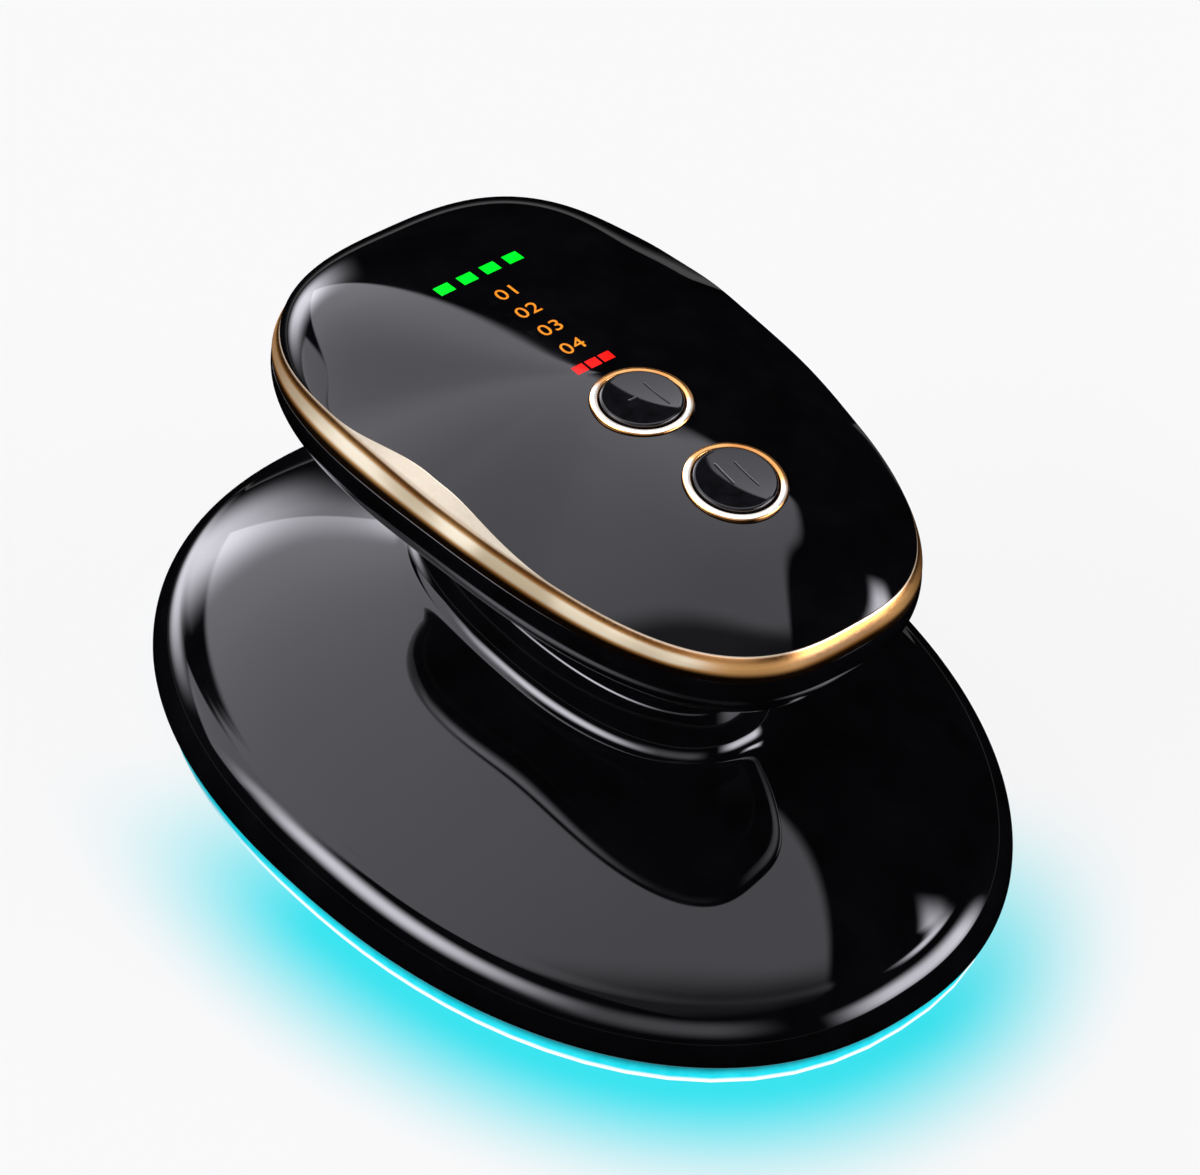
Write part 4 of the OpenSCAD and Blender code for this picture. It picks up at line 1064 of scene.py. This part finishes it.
# %% Lamp tree
def make_lamp_tree():
    inputs = {"Places": "Geometry", "Body size": 5.0, "Body height": 1.4, "Lens radius": 1.9,
              "Body finish": "Material", "Lens finish": "Material"}
    tree, source, result = new_group("GeometryNodeTree", "lamp_rows", inputs, {"Lamps": "Geometry"})
    names = ("Body size", "Body height", "Lens radius")
    size, high, radius = (calc(tree, "MULTIPLY", source[name], MM) for name in names)
    body = add_node(tree, "GeometryNodeMeshCube", vector(tree, size, size, high * 0.7))
    body = add_node(tree, "GeometryNodeTransform", body, vector(tree, 0.0, 0.0, high * 0.65))
    lens = add_node(tree, "GeometryNodeMeshUVSphere", 24, 12, radius)
    drop, shape = vector(tree, 0.0, 0.0, high * 0.45), vector(tree, 1.0, 1.0, high * 0.42 / radius)
    lens = add_node(tree, "GeometryNodeTransform", lens, drop, None, shape)
    marked = add_node(tree, "GeometryNodeStoreNamedAttribute", lens, True, "lens", 1.0)
    both = tree.nodes.new("GeometryNodeJoinGeometry")
    for part in (marked, body):
        wire(tree, both.inputs[0], part)
    lamps = add_node(tree, "GeometryNodeInstanceOnPoints", source["Places"], True, both.outputs[0])
    real = add_node(tree, "GeometryNodeRealizeInstances", lamps)
    painted = add_node(tree, "GeometryNodeSetMaterial", real, True, source["Body finish"])
    on_lens = calc(tree, "GREATER_THAN", named_value(tree, "lens"), 0.5)
    painted = add_node(tree, "GeometryNodeSetMaterial", painted, on_lens, source["Lens finish"])
    wire(tree, result["Lamps"], painted)
    return tree


RING_HALF, SLOT_PITCH, LAMP_LOW = (20.75, 39.5), 9.0, 5.6
lamp_lens = lit_pipe("lamp_lens", (0.75, 1.0, 1.0), (0.25, 0.9, 1.0), 1.2)
places = [(RING_HALF[0] * sin(radians(a)), RING_HALF[1] * cos(radians(a))) for a in range(0, 360, 30)]
places += [(0.0, k * SLOT_PITCH) for k in range(-2, 3)]
spots = [(x * MM, y * MM, LAMP_LOW * MM) for x, y in places]
lamp_rows = new_piece("lamp_rows", flat_mesh("lamp_rows", spots))
run_tree(lamp_rows, make_lamp_tree(), **{"Body size": 5.0, "Body height": 1.4, "Lens radius": 1.9,
                                         "Body finish": FINISH["lamp_body"], "Lens finish": lamp_lens})
lamp_rows.data.attributes.remove(lamp_rows.data.attributes["lens"])
outward(lamp_rows)
print("lamps:", len(places))
stands_for(lamp_rows, "device", "led_white", "treatment_leds")

# %% [markdown]
# ## The transformer's coil
# The coil is one long wire. A spiral curve is its path, and a small circle run along it is the wire.

# %% Coil tree
def make_coil_tree():
    inputs = {"Places": "Geometry", "Turns": 9.0, "Radius": 6.0, "Height": 5.0, "Wire radius": 0.3,
              "Finish": "Material"}
    tree, source, result = new_group("GeometryNodeTree", "wound_coil", inputs, {"Coil": "Geometry"})
    names = ("Radius", "Height", "Wire radius")
    radius, high, wire_r = (calc(tree, "MULTIPLY", source[name], MM) for name in names)
    path = add_node(tree, "GeometryNodeCurveSpiral", 40, source["Turns"], radius, radius, high)
    round_wire = add_node(tree, "GeometryNodeCurvePrimitiveCircle", 10)
    wire(tree, round_wire.node.inputs["Radius"], wire_r)
    tube = add_node(tree, "GeometryNodeCurveToMesh", path, round_wire)
    wire(tree, tube.node.inputs["Fill Caps"], True)
    coils = add_node(tree, "GeometryNodeInstanceOnPoints", source["Places"], True, tube)
    real = add_node(tree, "GeometryNodeRealizeInstances", coils)
    wire(tree, result["Coil"], add_node(tree, "GeometryNodeSetMaterial", real, True, source["Finish"]))
    return tree


WIRE_R, WIRE_PLAY = 0.31, 0.01
coil_low, coil_high = (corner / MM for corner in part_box("transformer_winding"))
start = (0, (coil_low.y + coil_high.y) / 2 * MM, (coil_low.z + WIRE_R + WIRE_PLAY) * MM)
coil = new_piece("coil_turns", flat_mesh("coil_turns", [start]))
coil_rise = coil_high.z - coil_low.z - 2 * (WIRE_R + WIRE_PLAY)
run_tree(coil, make_coil_tree(), **{"Turns": 8.0, "Radius": 6.46, "Height": coil_rise, "Wire radius": WIRE_R,
                                    "Finish": FINISH["copper_wire"]})
outward(coil)
stands_for(coil, "device", "copper_wire", "transformer_winding")
print("coil:", len(coil.data.polygons), "faces")

# %% [markdown]
# ## The studio
# The device stands on a white floor in a dark room. A large soft box with a wing at its left hangs
# overhead, and strip lights stand on the left, behind and on the right, with a small one above the right
# one. Gloss shows lamps as sharp shapes, so the room is painted on the world as soft-edged windows. Matt
# surfaces get less of the strips, which keeps colours at their own level.

# %% World
def soft_window(tree, azimuth, elevation, az, el, strength):
    """Light between two azimuths and two elevations, each given as (start, full, full, end) in degrees."""
    mask = strength
    for value, (a, b, c, d) in ((azimuth, az), (elevation, el)):
        mask = mask * ramp(tree, value, a, b) * ramp(tree, value, c, d, 1.0, 0.0)
    return mask


# azimuths, elevations and strength of each strip light
STRIPS = {
    "left": ((-116, -70, -56, -36), (15, 32, 34, 48), 15.0),
    "left, towards the front": ((-175, -145, -112, -90), (8, 28, 32, 50), 1.4),
    "behind": ((-32, 0, 6, 26), (0, 13, 16, 28), 9.0),
    "right": ((110, 128, 150, 178), (-8, 9, 14, 30), 13.0),
    "above the right": ((106, 119, 126, 140), (37, 41, 42.5, 46.5), 13.0),
}
FLOOR_WHITE, MATT_SHARE, ROOM_LIGHT = 0.947, 0.3, 0.12


def overhead_box(tree, across, along):
    """The soft box and its wing, drawn on a flat ceiling: across is X and along is Y over height."""
    far = along - across * 2.15
    box = soft_window(tree, across, far, (-0.57, -0.53, 0.77, 0.81), (-9, -8, 2.04, 2.16), 1.0)
    box = box * ramp(tree, across - along * 0.6, 0.64, 0.58)
    box = box * ramp(tree, along, 0.0, 1.5, 1.65, 2.7, smooth=False)
    edge = ramp(tree, across * 0.75 + along, -0.38, -0.14) * ramp(tree, across * 0.3 + along, -0.42, -0.22)
    box = box * (edge * 0.86 + ramp(tree, along, -0.75, -0.3) * 0.14)
    far = across * 0.6 + along
    wing = soft_window(tree, across, far, (-2.6, -2.2, -0.5, -0.42), (-2, -1, 1.5, 1.75), 2.1)
    return calc(tree, "MAXIMUM", box, wing * ramp(tree, across * 0.9 + along, 0.0, 0.2))


def make_world():
    world = bpy.data.worlds.new("studio")
    world.use_nodes = True
    tree = world.node_tree
    tree.nodes.clear()
    way = calc(tree, "NORMALIZE", add_node(tree, "ShaderNodeTexCoord", out=0), kind="ShaderNodeVectorMath")
    x, y, z = split_xyz(tree, way)
    azimuth, elevation = (calc(tree, *turn) * (180 / pi) for turn in (("ARCTAN2", x, y), ("ARCSINE", z)))
    up = calc(tree, "MAXIMUM", z, 0.02)
    strips = sum(soft_window(tree, azimuth, elevation, *strip) for strip in STRIPS.values())
    light = tree.nodes.new("ShaderNodeLightPath").outputs
    dimmed = ramp(tree, light["Is Diffuse Ray"], 0, 1, 1.0, MATT_SHARE, smooth=False)
    total = overhead_box(tree, x / up, y / up) + strips * dimmed
    total = total + calc(tree, "MULTIPLY", light["Is Diffuse Ray"], ROOM_LIGHT)
    seen = add_node(tree, "ShaderNodeMix", light["Is Camera Ray"], None, total, FLOOR_WHITE)
    tint = mix_colour(tree, light["Is Camera Ray"], (0.87, 0.855, 0.94), (1.0, 1.0, 1.0))
    back = add_node(tree, "ShaderNodeBackground", tint, seen)
    wire(tree, tree.nodes.new("ShaderNodeOutputWorld").inputs[0], back)
    bpy.context.scene.world = world
    print("lamps in the room: the box, its wing and", len(STRIPS), "strips")


make_world()

# %% [markdown]
# ## The floor
# The floor is white and keeps the device's soft shadow. Round the head it carries the cyan pool of light
# that leaves the skirt. Mirror-like surfaces see the floor dark near the head, where the head shades it,
# and paler far away. Seen from below the floor is clear, so the treatment side can be looked at.

# %% Floor
FLOOR_HALF_M, FLOOR_DROP, POOL_REACH = 6.0, 0.05, 24


def make_floor():
    made = bpy.data.materials.new("white_floor")
    made.use_nodes = True
    tree = made.node_tree
    tree.nodes.clear()
    around = group_node(tree, ROUND_HEAD, Inset_mm=SKIRT_INSET)
    beyond, light = around["Beyond mm"], tree.nodes.new("ShaderNodeLightPath").outputs
    pool = ramp(tree, beyond, 0, POOL_REACH, 1.0, 0.0) * around["Strength"]
    colour = mix_colour(tree, pool, [FLOOR_WHITE] * 3, (0.045, 0.79, 0.885))
    glow = add_node(tree, "ShaderNodeEmission", colour, 0.897)
    matt = add_node(tree, "ShaderNodeBsdfDiffuse", scaled(tree, colour, 0.08))
    both = add_node(tree, "ShaderNodeAddShader", glow, matt)
    mirrored = mix_colour(tree, ramp(tree, beyond, 300, 1200), (0.0, 0.0, 0.0), (0.3, 0.3, 0.3))
    seen_glossy = add_node(tree, "ShaderNodeEmission", mirrored, 1.0)
    plain = add_node(tree, "ShaderNodeBsdfDiffuse", (0.6, 0.6, 0.6, 1))
    others = add_node(tree, "ShaderNodeMixShader", light["Is Glossy Ray"], plain, seen_glossy)
    below = add_node(tree, "ShaderNodeEmission", (0.9, 0.9, 0.9, 1), 0.8)
    others = add_node(tree, "ShaderNodeMixShader", ramp(tree, beyond, -4, -9), others, below)
    through = calc(tree, "MAXIMUM", light["Is Camera Ray"], light["Is Transmission Ray"])
    whole = add_node(tree, "ShaderNodeMixShader", through, others, both)
    back_face = tree.nodes.new("ShaderNodeNewGeometry").outputs["Backfacing"]
    clear = add_node(tree, "ShaderNodeBsdfTransparent")
    whole = add_node(tree, "ShaderNodeMixShader", back_face, whole, clear)
    wire(tree, tree.nodes.new("ShaderNodeOutputMaterial").inputs[0], whole)
    half, low = FLOOR_HALF_M, -FLOOR_DROP * MM
    corners = [(-half, -half, low), (half, -half, low), (half, half, low), (-half, half, low)]
    floor = new_piece("floor", flat_mesh("floor", corners, [(0, 1, 2, 3)]))
    floor.data.materials.append(made)
    floor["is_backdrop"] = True
    print("floor", FLOOR_DROP, "mm below the electrodes")


make_floor()

# %% [markdown]
# ## The camera
# The picture is taken with a long lens from the left front, halfway up. The camera's three directions and
# its place were found by matching the ovals of the head and the grip.

# %% Camera
right = Vector((0.767405, -0.638996, 0.052661))
above = Vector((0.403861, 0.545539, 0.73436))
ahead = Vector((0.497982, 0.542283, -0.676715))
camera_data = bpy.data.cameras.new("camera")
SENSOR, FOCAL_PX, FRAME_PX = 36, 3888.25, 1200
camera_data.lens = SENSOR * FOCAL_PX / FRAME_PX
camera_data.sensor_width, camera_data.sensor_fit = SENSOR, "HORIZONTAL"
camera_data.clip_start, camera_data.clip_end = 0.05, 30
camera = new_piece("camera", camera_data)
turn = Matrix((right, above, -ahead)).transposed().to_4x4()
camera.matrix_world = placed(-271.454, -297.432, 402.691) @ turn
bpy.context.scene.camera = camera
bpy.context.scene.view_settings.view_transform = "Standard"
print("lens:", round(camera_data.lens, 1), "mm")

# %% [markdown]
# ## Close the lesson
# The dressed device is measured, as the CAD model was. Both boxes are kept side by side and printed.

# %% Measure and finish
dressed_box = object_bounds()
boxes = {"cad": [list(corner) for corner in cad_box], "dressed": [list(corner) for corner in dressed_box]}
for name, (low, high) in boxes.items():
    print(name, [round((b - a) * 1000, 2) for a, b in zip(low, high)])
